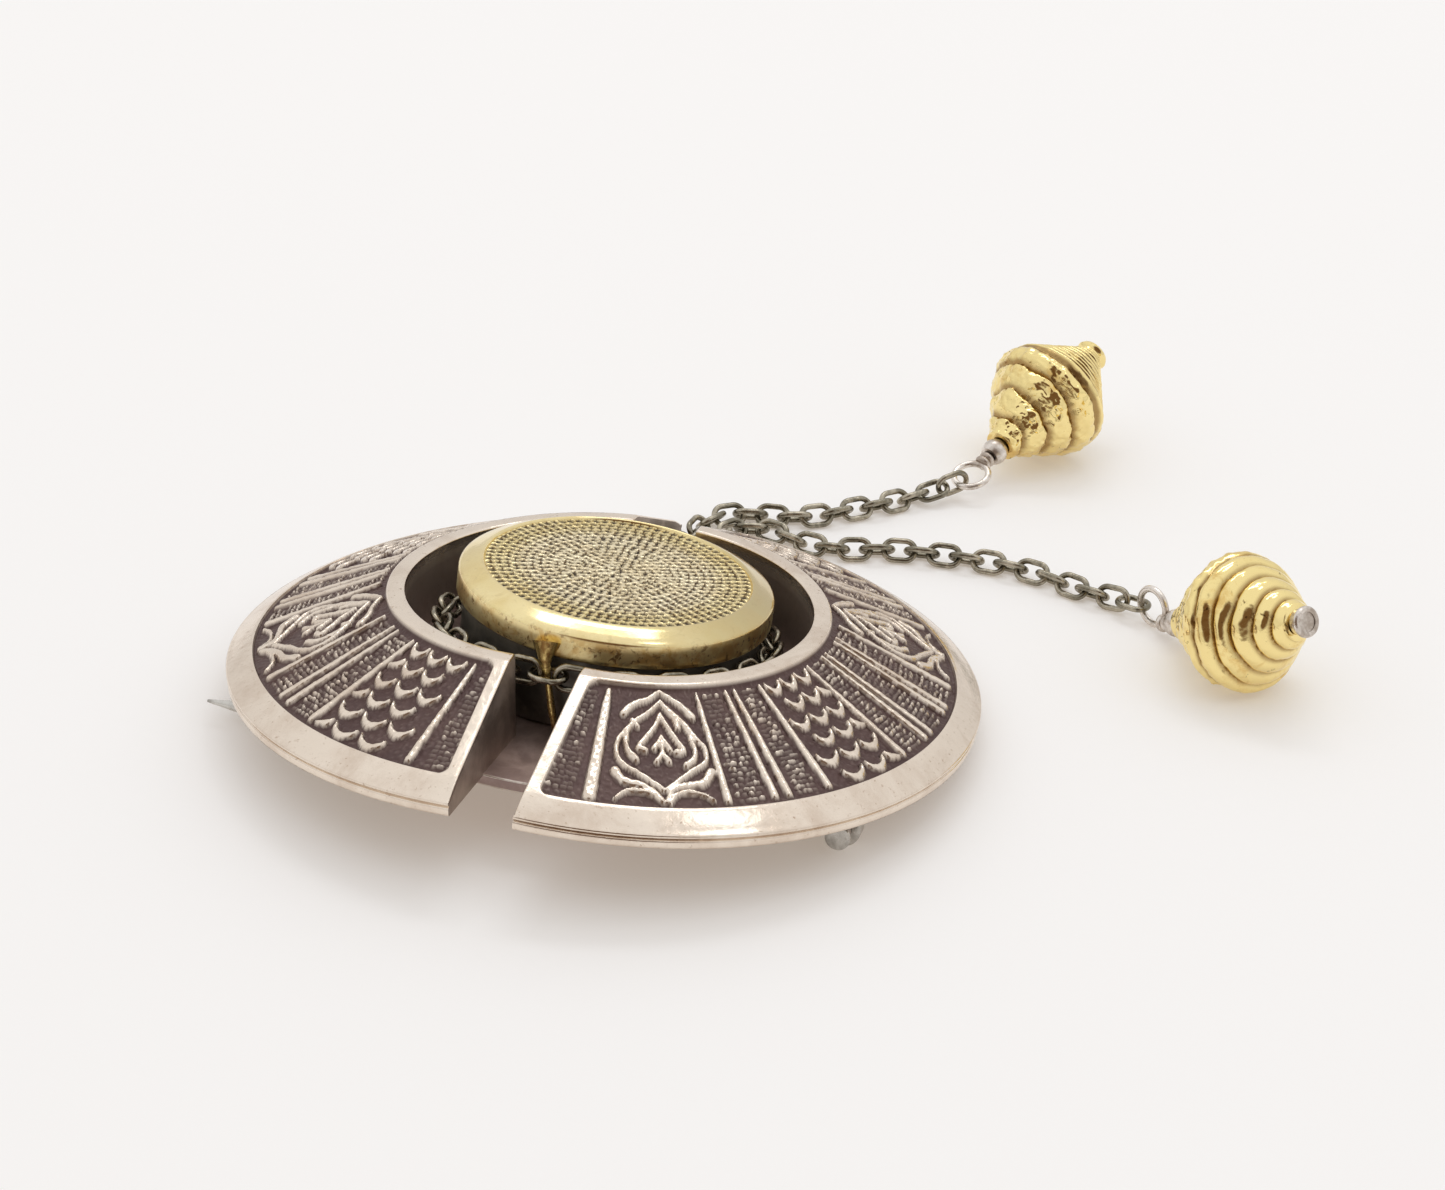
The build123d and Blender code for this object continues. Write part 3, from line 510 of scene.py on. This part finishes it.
def between(tree, place, mask, first, second):
    """A value that goes from first to second with a mask."""
    node = new_node(tree, "ShaderNodeMapRange", place)
    node.inputs["To Min"].default_value = first
    node.inputs["To Max"].default_value = second
    tree.links.new(mask, node.inputs["Value"])
    return node.outputs["Result"]


def fine_bump(tree, shader, scale, strength, depth):
    """A fine uneven skin on a shader's normal."""
    where = new_node(tree, "ShaderNodeTexCoord", (-600, -500))
    skin = new_node(tree, "ShaderNodeTexNoise", (-300, -500), Scale=scale, Detail=4.0, Roughness=0.6)
    bump = new_node(tree, "ShaderNodeBump", (200, -500), Strength=strength, Distance=depth)
    tree.links.new(where.outputs["Object"], skin.inputs["Vector"])
    tree.links.new(skin.outputs["Fac"], bump.inputs["Height"])
    tree.links.new(bump.outputs["Normal"], shader.inputs["Normal"])
    return bump


def painted(tree, place, name):
    """The socket of a value that a mesh keeps by this name."""
    return new_node(tree, "ShaderNodeAttribute", place, attribute_name=name).outputs["Fac"]


def mottled_metal(name, patches, plain, worn, metallic, roughness, skin):
    """A metal that goes from plain to worn in patches, in colour and in roughness, under a fine skin."""
    material, tree, shader = blank_material(name)
    mask = tarnish_mask(tree, (-900, 0), *patches)
    tree.links.new(mixed(tree, (-300, 0), mask, plain, worn), shader.inputs["Base Color"])
    shader.inputs["Metallic"].default_value = metallic
    tree.links.new(between(tree, (0, -250), mask, *roughness), shader.inputs["Roughness"])
    fine_bump(tree, shader, *skin)
    return material


def to_table(bm):
    """Scales a mesh in mm of the brooch's flat frame to metres and lays it on the table."""
    bmesh.ops.transform(bm, matrix=Matrix.Scale(MM, 4) @ LYING, verts=bm.verts)


def finished(bm, name, material, sharp=35.0):
    """A piece of the brooch from a closed bmesh that is in place and its material."""
    bmesh.ops.remove_doubles(bm, verts=bm.verts, dist=1e-7)
    bmesh.ops.recalc_face_normals(bm, faces=bm.faces)
    for face in bm.faces:
        face.smooth = True
    mesh = bpy.data.meshes.new(name)
    bm.to_mesh(mesh)
    bm.free()
    mesh.set_sharp_from_angle(angle=math.radians(sharp))
    mesh.materials.append(material)
    piece = bpy.data.objects.new(name, mesh)
    bpy.context.scene.collection.objects.link(piece)
    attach(piece, "brooch")
    return piece


cast_silver, tree, shader = blank_material("cast_silver")
rubbed_and_pit_shade = painted(tree, (-900, 200), "rubbed_and_pit_shade")
mottle = tarnish_mask(tree, (-900, 0), 240.0, 0.56, 0.16)
specks = tarnish_mask(tree, (-900, -200), 3400.0, 0.65, 0.06)
field_mottle = tarnish_mask(tree, (-900, -400), 260.0, 0.5, 0.2)
bright = mixed(tree, (-600, 0), mottle, (0.83, 0.725, 0.615, 1), (0.68, 0.56, 0.455, 1))
bright = mixed(tree, (-400, 0), specks, bright, (0.50, 0.37, 0.28, 1))
field = mixed(tree, (-600, 300), field_mottle, (0.076, 0.038, 0.035, 1), (0.115, 0.064, 0.056, 1))
tree.links.new(mixed(tree, (0, 200), rubbed_and_pit_shade, field, bright), shader.inputs["Base Color"])
tree.links.new(between(tree, (0, -100), rubbed_and_pit_shade, 0.35, 1.0), shader.inputs["Metallic"])
tree.links.new(between(tree, (0, -250), rubbed_and_pit_shade, 0.46, 0.19), shader.inputs["Roughness"])
skin = fine_bump(tree, shader, 1700.0, 0.25, 0.00006)
where = new_node(tree, "ShaderNodeTexCoord", (-600, -750))
dents = new_node(tree, "ShaderNodeTexNoise", (-300, -750), Scale=420.0, Detail=2.0)
dented = new_node(tree, "ShaderNodeBump", (0, -750), Strength=0.35, Distance=0.00012)
tree.links.new(where.outputs["Object"], dents.inputs["Vector"])
tree.links.new(dents.outputs["Fac"], dented.inputs["Height"])
tree.links.new(dented.outputs["Normal"], skin.inputs["Normal"])

wall_silver = mottled_metal("end_wall_silver", (350.0, 0.5, 0.15), (0.36, 0.29, 0.25, 1),
                            (0.56, 0.47, 0.41, 1), 0.9, (0.38, 0.5), (1500.0, 0.3, 0.00006))

for number, (side, ornament) in enumerate(HALVES.items()):
    bm = half_saucer(side, ornament, 11 + number)
    saucer = finished(bm, "saucer_" + side, cast_silver, sharp=70.0)
    saucer.data.materials.append(wall_silver)
    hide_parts("silver_frame")


# Back plate
# A plain round silver plate under both halves. Its top is dark, partly from oxide and partly as painted
# shade under the halves, and its cut edge shows bright in the slot.
def extruded(bm, faces, way):
    """Draws faces out to a closed solid in a direction."""
    drawn = bmesh.ops.extrude_face_region(bm, geom=faces)["geom"]
    bmesh.ops.translate(bm, vec=way, verts=[v for v in drawn if isinstance(v, bmesh.types.BMVert)])


PLATE_RADIUS, PLATE_TOP, PLATE_THICKNESS, PLATE_EDGE = 17.8, 0.1, 0.8, 0.12
# The plate's top colour is dark oxide together with painted shade from the halves over it.
dark_silver = mottled_metal("dark_silver", (300.0, 0.5, 0.15), (0.28, 0.20, 0.18, 1), (0.44, 0.33, 0.29, 1),
                            0.85, (0.42, 0.55), (1200.0, 0.3, 0.00006))
edge_silver = mottled_metal("worn_silver", (500.0, 0.55, 0.12), (0.74, 0.67, 0.60, 1), (0.42, 0.35, 0.29, 1),
                            1.0, (0.28, 0.42), (1800.0, 0.25, 0.00006))

bm = bmesh.new()
bmesh.ops.create_circle(bm, cap_ends=True, segments=160, radius=PLATE_RADIUS,
                        matrix=Matrix.Translation((0, 0, PLATE_TOP - PLATE_THICKNESS)))
extruded(bm, bm.faces[:], (0, 0, PLATE_THICKNESS))
rims = [e for e in bm.edges if abs(e.verts[0].co.z - e.verts[1].co.z) < 1e-6]
bmesh.ops.bevel(bm, geom=rims, offset=PLATE_EDGE, segments=3, profile=0.5, affect="EDGES", material=-1)
for face in bm.faces:
    face.material_index = 1 if 0.2 < abs(face.normal.z) < 0.95 else 0
to_table(bm)
plate = finished(bm, "back_plate", dark_silver)
plate.data.materials.append(edge_silver)
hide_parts("silver_frame")


# Hinge lugs and catch
# Two silver ears soldered under the right half for the pin's rivet, and a rolled clip under the left half
# that is open downwards.
HINGE_X, LUG_HOLE_RADIUS, LUG_TOP = 19.2, 0.58, 0.25
CATCH_X, CATCH_WIDTH, CATCH_RADIUS, CATCH_BORE, CATCH_MOUTH = -19.4, 1.8, 1.2, 0.62, 1.0
CATCH_POST = (1.78, 0.9, 1.9)
CATCH_POST_RISE = 0.7
CATCH_STEPS = 32


def hinge_lug(offset):
    """An ear with a round foot and the rivet's hole, as a closed bmesh."""
    bm = bmesh.new()
    bmesh.ops.create_circle(bm, cap_ends=False, segments=48, radius=LUG_RADIUS)
    for vert in bm.verts:
        if vert.co.y > 0:
            vert.co.y = LUG_TOP - PIN_Z
            vert.co.x = math.copysign(LUG_RADIUS, vert.co.x) if abs(vert.co.x) > 1e-6 else 0.0
    bmesh.ops.create_circle(bm, cap_ends=False, segments=48, radius=LUG_HOLE_RADIUS)
    bmesh.ops.triangle_fill(bm, use_beauty=True, use_dissolve=False, edges=bm.edges[:])
    extruded(bm, bm.faces[:], (0, 0, LUG_THICKNESS))
    place = Matrix.Translation((HINGE_X, PIN_Y + offset + LUG_THICKNESS / 2, PIN_Z))
    bmesh.ops.transform(bm, matrix=place @ Matrix.Rotation(math.radians(90), 4, "X"), verts=bm.verts)
    to_table(bm)
    return bm


def clip_arc(radius):
    """Points (y, z) round the clip from one lip of its mouth, which is at the bottom, to the other."""
    lip = math.asin(CATCH_MOUTH / 2 / radius)
    turns = [-math.pi / 2 + lip + (2 * math.pi - 2 * lip) * step / CATCH_STEPS
             for step in range(CATCH_STEPS + 1)]
    return [(radius * math.cos(turn), radius * math.sin(turn)) for turn in turns]


# The lugs take the darker end-wall silver as painted shade under the brooch.
for number, offset in enumerate((-LUG_OFFSET, LUG_OFFSET)):
    lug = finished(hinge_lug(offset), f"hinge_lug_{number + 1}", wall_silver)
    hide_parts("silver_frame")

bm = bmesh.new()
section = clip_arc(CATCH_RADIUS) + clip_arc(CATCH_BORE)[::-1]
clip = bm.faces.new([bm.verts.new((0, y, z)) for y, z in section])
extruded(bm, [clip], (CATCH_WIDTH, 0, 0))
bmesh.ops.translate(bm, vec=(CATCH_X - CATCH_WIDTH / 2, PIN_Y, PIN_Z), verts=bm.verts)
post = bmesh.ops.create_cube(bm, size=1.0)["verts"]
bmesh.ops.scale(bm, vec=CATCH_POST, verts=post)
bmesh.ops.translate(bm, vec=(CATCH_X, PIN_Y, PIN_Z + CATCH_RADIUS + CATCH_POST_RISE), verts=post)
to_table(bm)
# The catch takes the darker end-wall silver as painted shade under the brooch.
catch = finished(bm, "pin_catch", wall_silver)
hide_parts("silver_frame")


# Drum under the button
# A plain ring wall of oxidised silver, soldered to the plate. It keeps its CAD shape.
def finish_node(name, material):
    """Gives a CAD node that keeps its shape its Blender material."""
    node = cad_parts[name]
    node.data.materials.clear()
    node.data.materials.append(material)


drum_grey = mottled_metal("drum_grey", (380.0, 0.52, 0.16), (0.13, 0.125, 0.11, 1), (0.24, 0.22, 0.19, 1),
                          0.85, (0.40, 0.52), (1500.0, 0.3, 0.00006))
finish_node("centre_drum", drum_grey)


# Gold button and peg
# A pressed gold lid with a broad polished bevel and a sunk centre full of dimples. Its side wall has gone
# brown in patches. A gold rod in front runs down from its skirt through the chain.
BUTTON_LEAN = Matrix.Rotation(math.radians(-2.0), 4, "X") @ Matrix.Rotation(math.radians(3.65), 4, "Y")
BUTTON_FIELD_RADIUS, BUTTON_FLOOR = 8.8, 6.92
BUTTON_CELLS = 270
DIMPLE_DEPTH, DIMPLE_REACH = 0.30, 0.35
# The bevel is painted a duller olive gold towards this side, as a painted dim reflection.
DIM_REFLECTION_SIDE = math.radians(8.0)
# The lid outside its field as (radius, height, how much it is stained)
LID_OUTLINE = ((8.84, 7.04, 0.1), (8.91, 7.10, 0.1), (9.02, 7.08, 0.1), (9.4, 6.90, 0.1),
               (9.8, 6.71, 0.12), (10.2, 6.52, 0.15), (10.36, 6.40, 0.3), (10.4, 6.27, 0.7),
               (10.4, 5.8, 1.0), (10.4, 5.2, 1.0), (10.39, 4.86, 1.0), (10.34, 4.77, 1.0),
               (10.1, 4.76, 1.0), (9.95, 4.78, 1.0), (9.95, 6.0, 1.0), (0.5, 6.0, 1.0))


def dimple_places(dice):
    """The dimples, in staggered rings that are neat outside and looser inwards.

    Each is its centre's x and y, its turn, its half length and its half width.
    """
    dimples = []
    radius = BUTTON_FIELD_RADIUS - 0.36
    ring = 0
    while radius > 0.2:
        pitch = 0.60 if radius > 4.5 else 0.52
        loose = 0.0 if radius > 6.8 else (0.04 if radius > 4.5 else 0.08)
        count = round(2 * math.pi * radius / pitch)
        for step in range(count):
            angle = 2 * math.pi * (step + 0.5 * (ring % 2)) / count
            x = radius * math.cos(angle) + dice.uniform(-loose, loose)
            y = radius * math.sin(angle) + dice.uniform(-loose, loose)
            width = 0.43 * pitch * (1 - 1.5 * dice.uniform(0.0, loose))
            dimples.append((x, y, angle, width * (1.18 if ring == 0 else 1.04), width))
        radius -= 0.9 * pitch if ring else 0.60
        ring += 1
    return dimples


def round_plan(x, y):
    """Maps a square onto a disc of radius 1 with even cells."""
    wide = np.abs(x) > np.abs(y)
    reach = np.where(wide, x, y)
    other = np.where(wide, y, x)
    safe = np.where(np.abs(reach) < 1e-9, 1.0, reach)
    angle = math.pi / 4 * other / safe
    along = reach * np.cos(angle)
    across = reach * np.sin(angle)
    return np.where(wide, along, across), np.where(wide, across, along)


def button_field(dice):
    """The button's sunk centre as a mesh in mm, with its dimples, their painted shade and its pale middle.
    """
    mesh, across, out = grid_mesh("button_field", BUTTON_CELLS, BUTTON_CELLS)
    x, y = round_plan(across, out)
    x = x * BUTTON_FIELD_RADIUS
    y = y * BUTTON_FIELD_RADIUS
    pit = np.zeros(len(x))
    for centre_x, centre_y, angle, length, width in dimple_places(dice):
        near = np.nonzero((np.abs(x - centre_x) < DIMPLE_REACH) & (np.abs(y - centre_y) < DIMPLE_REACH))[0]
        along = (x[near] - centre_x) * math.cos(angle) + (y[near] - centre_y) * math.sin(angle)
        aside = -(x[near] - centre_x) * math.sin(angle) + (y[near] - centre_y) * math.cos(angle)
        inside = np.clip(1.0 - (along / length) ** 2 - (aside / width) ** 2, 0.0, 1.0)
        pit[near] = np.maximum(pit[near], inside)
    z = BUTTON_FLOOR + 0.08 - DIMPLE_DEPTH * pit ** 0.6
    z = z + 0.02 * np.sin(9.0 * x + 2.0 * np.sin(3.0 * y)) * np.sin(8.0 * y + 2.0 * np.sin(2.5 * x))
    border = smooth_step(BUTTON_FIELD_RADIUS - 0.1, BUTTON_FIELD_RADIUS, np.hypot(x, y))
    z = z * (1 - border) + BUTTON_FLOOR * border
    mesh.vertices.foreach_set("co", np.stack((x, y, z), axis=1).ravel())
    # The dimples are painted dark as shade, and the ridges between them stay bright.
    paint(mesh, "rubbed_and_pit_shade", 1.0 - smooth_step(0.02, 0.32, pit))
    paint(mesh, "stained", np.full(len(x), 0.2))
    paint(mesh, "pale", 1.0 - smooth_step(5.6, 7.8, np.hypot(x, y)))
    paint(mesh, "painted_dim_reflection", np.zeros(len(x)))
    return mesh


bm = bmesh.new()
bm.from_mesh(button_field(np.random.default_rng(5)))
rubbed_and_pit_shade_layer = bm.verts.layers.float["rubbed_and_pit_shade"]
stained_layer = bm.verts.layers.float["stained"]
dim_reflection_layer = bm.verts.layers.float["painted_dim_reflection"]
loop = [e for e in bm.edges if e.is_boundary]
radius_now = BUTTON_FIELD_RADIUS
for radius, height, stain in LID_OUTLINE:
    new = bmesh.ops.extrude_edge_only(bm, edges=loop)["geom"]
    ring = [v for v in new if isinstance(v, bmesh.types.BMVert)]
    bmesh.ops.scale(bm, vec=(radius / radius_now, radius / radius_now, 1.0), verts=ring)
    for vert in ring:
        facing = max(0.0, math.cos(math.atan2(vert.co.y, vert.co.x) - DIM_REFLECTION_SIDE))
        vert.co.z = height
        vert[rubbed_and_pit_shade_layer] = 1.0
        vert[stained_layer] = stain
        # Painted dim reflection on the bevel's right side.
        vert[dim_reflection_layer] = (1 - stain) * facing ** 1.5
    loop = [e for e in new if isinstance(e, bmesh.types.BMEdge)]
    radius_now = radius
bmesh.ops.holes_fill(bm, edges=loop, sides=0)
bmesh.ops.transform(bm, matrix=BUTTON_LEAN, verts=bm.verts)
to_table(bm)


def joined(tree, place, operation, first, second):
    """Two values joined by a sum, a product or the like, as a socket."""
    node = new_node(tree, "ShaderNodeMath", place, operation=operation)
    tree.links.new(first, node.inputs[0])
    tree.links.new(second, node.inputs[1])
    return node.outputs["Value"]


button_gold, tree, shader = blank_material("button_gold")
rubbed_and_pit_shade = painted(tree, (-1200, 300), "rubbed_and_pit_shade")
stained = painted(tree, (-1200, 0), "stained")
pale = painted(tree, (-1200, 500), "pale")
painted_dim_reflection = painted(tree, (-1200, 700), "painted_dim_reflection")
brown = tarnish_mask(tree, (-1200, -200), 520.0, 0.50, 0.07)
dark = tarnish_mask(tree, (-1200, -400), 1500.0, 0.60, 0.05)
thin = tarnish_mask(tree, (-1200, -600), 200.0, 0.55, 0.2)
stain = joined(tree, (-900, -200), "MULTIPLY", brown, stained)
spots = joined(tree, (-900, -400), "MULTIPLY", dark, stained)
gold = mixed(tree, (-600, 0), thin, (0.90, 0.76, 0.42, 1), (0.82, 0.66, 0.31, 1))
# Painted dim reflection: the bevel's right side goes to a duller olive gold.
gold = mixed(tree, (-500, 200), painted_dim_reflection, gold, (0.56, 0.46, 0.25, 1))
gold = mixed(tree, (-450, 400), pale, gold, (0.94, 0.82, 0.56, 1))
gold = mixed(tree, (-400, 0), stain, gold, (0.66, 0.45, 0.18, 1))
gold = mixed(tree, (-200, 0), spots, gold, (0.32, 0.20, 0.09, 1))
# The dark brown in the dimples is painted shade.
tree.links.new(mixed(tree, (100, 200), rubbed_and_pit_shade, (0.10, 0.078, 0.060, 1), gold), shader.inputs["Base Color"])
tree.links.new(between(tree, (100, -100), rubbed_and_pit_shade, 0.5, 1.0), shader.inputs["Metallic"])
pit_roughness = between(tree, (100, -250), rubbed_and_pit_shade, 0.5, 0.13)
wall_roughness = between(tree, (100, -450), stained, 0.10, 0.36)
roughness = joined(tree, (350, -350), "MAXIMUM", pit_roughness, wall_roughness)
tree.links.new(roughness, shader.inputs["Roughness"])
fine_bump(tree, shader, 900.0, 0.12, 0.00005)
button = finished(bm, "gold_button_lid", button_gold, sharp=60.0)
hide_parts("gold_button")


def wire(bm, points, radii, sides=20):
    """A closed round rod through points, with its own radius at each."""
    rings = []
    for number, (point, radius) in enumerate(zip(points, radii)):
        before = Vector(points[max(number - 1, 0)])
        after = Vector(points[min(number + 1, len(points) - 1)])
        turn = (after - before).to_track_quat("Z", "Y").to_matrix().to_4x4()
        made = bmesh.ops.create_circle(bm, cap_ends=False, segments=sides, radius=radius,
                                       matrix=Matrix.Translation(point) @ turn)["verts"]
        edges = list({edge for vert in made for edge in vert.link_edges})
        if rings:
            bmesh.ops.bridge_loops(bm, edges=rings[-1] + edges)
        rings.append(edges)
    for ring in (rings[0], rings[-1]):
        bmesh.ops.holes_fill(bm, edges=ring, sides=0)


PEG_POINTS = ((-0.80, -10.15, 6.0), (-0.76, -10.4, 5.55), (-0.70, -10.62, 5.15), (-0.62, -10.74, 4.75),
              (-0.52, -10.79, 4.30), (-0.38, -10.82, 3.6), (-0.20, -10.88, 2.7), (-0.06, -10.92, 1.9),
              (0.16, -10.97, 1.0), (0.32, -11.0, 0.28))
PEG_RADII = (0.95, 0.68, 0.46, 0.33, 0.25, 0.21, 0.23, 0.25, 0.21, 0.20)
bm = bmesh.new()
wire(bm, PEG_POINTS, PEG_RADII)
to_table(bm)
peg_gold = mottled_metal("peg_gold", (900.0, 0.56, 0.08), (0.82, 0.64, 0.26, 1), (0.32, 0.18, 0.06, 1),
                         1.0, (0.25, 0.4), (2200.0, 0.4, 0.00008))
peg = finished(bm, "gold_peg", peg_gold)
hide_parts("gold_button")


# Pin and rivet
# Drawn wire with a flattened eye on a rivet, ground to a point. Both keep their CAD shapes.
pin_steel = mottled_metal("pin_wire", (300.0, 0.55, 0.15), (0.62, 0.60, 0.56, 1), (0.30, 0.28, 0.25, 1),
                          1.0, (0.25, 0.38), (2500.0, 0.2, 0.00004))
finish_node("pin_stem", pin_steel)
finish_node("hinge_rivet", pin_steel)


# Chain
# Loose oval links of dark gunmetal wire, round the drum and out to each finial. They keep their CAD shapes.
gunmetal = mottled_metal("gunmetal", (700.0, 0.52, 0.12), (0.20, 0.18, 0.135, 1), (0.48, 0.43, 0.34, 1),
                         1.0, (0.20, 0.30), (2600.0, 0.25, 0.00004))
finish_node("chain_to_near_finial", gunmetal)
finish_node("chain_to_far_finial", gunmetal)


# Gold finials
# Cast gold drops, each two cones foot to foot with one rib that winds round like a snail shell's. The
# grooves are painted dark brown as shade, and a few pits show. The far one's tip has a finer, rounder rib.
GIRTH, BRIM, NECK_LENGTH, TIP_LENGTH, END_RADIUS = 4.9, 1.6, 6.1, 5.5, 1.25
NECK_DEPTH, NECK_ROUNDNESS = 0.50, 0.42
FINIAL_ROWS, FINIAL_SIDES = 240, 180
FINIALS = {
    "near": {"place": (39.57, 17.35, 4.678), "turn": -39.0, "tilt": 27.0, "neck_turns": 3, "tip_turns": 4.5,
             "depth": 0.60, "tip_roundness": 0.42, "wander": 0.26, "skin": 0.13, "skin_scale": 0.9},
    "far": {"place": (20.25, 46.3, 4.757), "turn": 66.0, "tilt": 18.0, "neck_turns": 3, "tip_turns": 8.0,
            "depth": 0.36, "tip_roundness": 1.0, "wander": 0.10, "skin": 0.12, "skin_scale": 1.2},
}


def finial_place(finial):
    """The matrix from a finial's own frame, with x from neck to tip in mm, to the table."""
    return (Matrix.Scale(MM, 4) @ Matrix.Translation(finial["place"])
            @ Matrix.Rotation(math.radians(finial["turn"]), 4, "Z")
            @ Matrix.Rotation(math.radians(-finial["tilt"]), 4, "Y"))


def finial_mesh(name, finial):
    """A drop as a tube of rings whose radius follows the winding rib and the rough casting skin."""
    mesh, around, out = grid_mesh(name, FINIAL_SIDES, FINIAL_ROWS - 1)
    angle = (around + 1) * math.pi
    x = -NECK_LENGTH + (out + 1) / 2 * (NECK_LENGTH + TIP_LENGTH)
    neck_share = np.clip((-x - BRIM / 2) / (NECK_LENGTH - BRIM / 2), 0.0, 1.0)
    tip_share = np.clip((x - BRIM / 2) / (TIP_LENGTH - BRIM / 2), 0.0, 1.0)
    cone = 1 - np.maximum(neck_share, tip_share)
    turns = np.where(x < -BRIM / 2, -neck_share * finial["neck_turns"],
                     np.where(x > BRIM / 2, tip_share * finial["tip_turns"], (x + BRIM / 2) / BRIM))
    crown = GIRTH - 0.15 * np.minimum(np.abs(2 * x / BRIM), 1.0) ** 2
    smooth = END_RADIUS + (crown - END_RADIUS) * cone
    spots = np.stack((x, smooth * np.cos(angle), smooth * np.sin(angle)), axis=1) * 0.4
    wander = np.array([noise.noise(Vector(spot)) for spot in spots])
    phase = (turns + angle / (2 * math.pi) + finial["wander"] * wander) % 1.0
    on_tip = smooth_step(-0.4, 0.8, x)
    roundness = NECK_ROUNDNESS + on_tip * (finial["tip_roundness"] - NECK_ROUNDNESS)
    rib = np.sin(math.pi * phase ** 1.25) ** roundness
    fade = np.minimum(smooth_step(-NECK_LENGTH, -NECK_LENGTH + 0.5, x), 1 - smooth_step(5.0, 5.5, x))
    depth = (NECK_DEPTH + on_tip * (finial["depth"] - NECK_DEPTH)) * (1 + 0.5 * wander)
    radius = smooth + depth * (rib - 1) * fade
    spots = np.stack((x, radius * np.cos(angle), radius * np.sin(angle)), axis=1) * finial["skin_scale"]
    lumps = np.array([noise.fractal(Vector(spot), 0.9, 2.1, 3) for spot in spots])
    radius = radius + finial["skin"] * (1.4 - on_tip) * (np.clip(lumps, -1.0, 0.8) - 0.8) * fade
    places = np.stack((x, radius * np.cos(angle), radius * np.sin(angle)), axis=1)
    mesh.vertices.foreach_set("co", places.ravel())
    # The grooves carry painted shade.
    paint(mesh, "groove", (1 - smooth_step(0.35, 0.80, rib)) * fade)
    return mesh


finial_gold, tree, shader = blank_material("finial_gold")
groove = painted(tree, (-900, 300), "groove")
brown = tarnish_mask(tree, (-900, 0), 330.0, 0.60, 0.08)
pits = tarnish_mask(tree, (-900, -250), 1500.0, 0.66, 0.04)
gold = mixed(tree, (-600, 0), brown, (0.95, 0.77, 0.35, 1), (0.76, 0.52, 0.18, 1))
gold = mixed(tree, (-400, 0), pits, gold, (0.16, 0.08, 0.02, 1))
# Painted shade: the grooves go to a dark brown.
groove_shade = between(tree, (-600, 300), groove, 0.0, 0.75)
tree.links.new(mixed(tree, (0, 100), groove_shade, gold, (0.24, 0.11, 0.03, 1)), shader.inputs["Base Color"])
shader.inputs["Metallic"].default_value = 1.0
tree.links.new(between(tree, (0, -250), groove, 0.10, 0.30), shader.inputs["Roughness"])
fine_bump(tree, shader, 900.0, 0.30, 0.00008)

for side, finial in FINIALS.items():
    name = side + "_finial_drop"
    bm = bmesh.new()
    bm.from_mesh(finial_mesh(name + "_rings", finial))
    bmesh.ops.remove_doubles(bm, verts=bm.verts, dist=1e-5)
    bmesh.ops.holes_fill(bm, edges=[e for e in bm.edges if e.is_boundary], sides=0)
    bmesh.ops.transform(bm, matrix=finial_place(finial), verts=bm.verts)
    drop = finished(bm, name, finial_gold, sharp=60.0)
    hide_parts(side + "_gold_bead")


# Neck beads and headpins
# Worn silver beads, and silver wires that are riveted at the tips, wrapped at the necks and bent to loops.
bright_silver = mottled_metal("bright_silver", (600.0, 0.55, 0.12), (0.82, 0.76, 0.70, 1),
                              (0.45, 0.38, 0.32, 1), 1.0, (0.25, 0.40), (2200.0, 0.35, 0.00006))
for side in FINIALS:
    finish_node(side + "_neck_bead", bright_silver)
    finish_node(side + "_headpin", bright_silver)


# Tip trims
# A bright silver ring is pressed round the near finial's rivet head, and a flared gold cap covers the far
# one's. Their outlines are places along the finial and radii in mm. The rivet head ends 6.3 mm out and is
# 0.88 mm in radius.
TIP_TRIMS = (
    ("near_tip_ring", "near", "bright_silver", bright_silver,
     ((6.05, 0.90), (6.05, 1.00), (6.18, 1.07), (6.32, 1.05), (6.41, 0.94), (6.42, 0.80), (6.36, 0.68),
      (6.32, 0.68), (6.32, 0.90), (6.05, 0.90))),
    ("far_tip_cap", "far", "finial_gold", finial_gold,
     ((6.37, 0.0), (6.37, 0.70), (6.33, 1.05), (6.20, 1.25), (6.02, 1.32), (5.86, 1.26), (5.74, 1.12),
      (5.54, 1.10), (5.54, 0.92), (6.33, 0.92), (6.33, 0.0))),
)
for name, side, slot, material, outline in TIP_TRIMS:
    bm = bmesh.new()
    verts = [bm.verts.new((x, radius, 0.0)) for x, radius in outline]
    edges = [bm.edges.new(pair) for pair in zip(verts, verts[1:])]
    bmesh.ops.spin(bm, geom=verts + edges, cent=(0, 0, 0), axis=(1, 0, 0), angle=2 * math.pi, steps=64,
                   use_merge=True)
    bmesh.ops.transform(bm, matrix=finial_place(FINIALS[side]), verts=bm.verts)
    finished(bm, name, material)
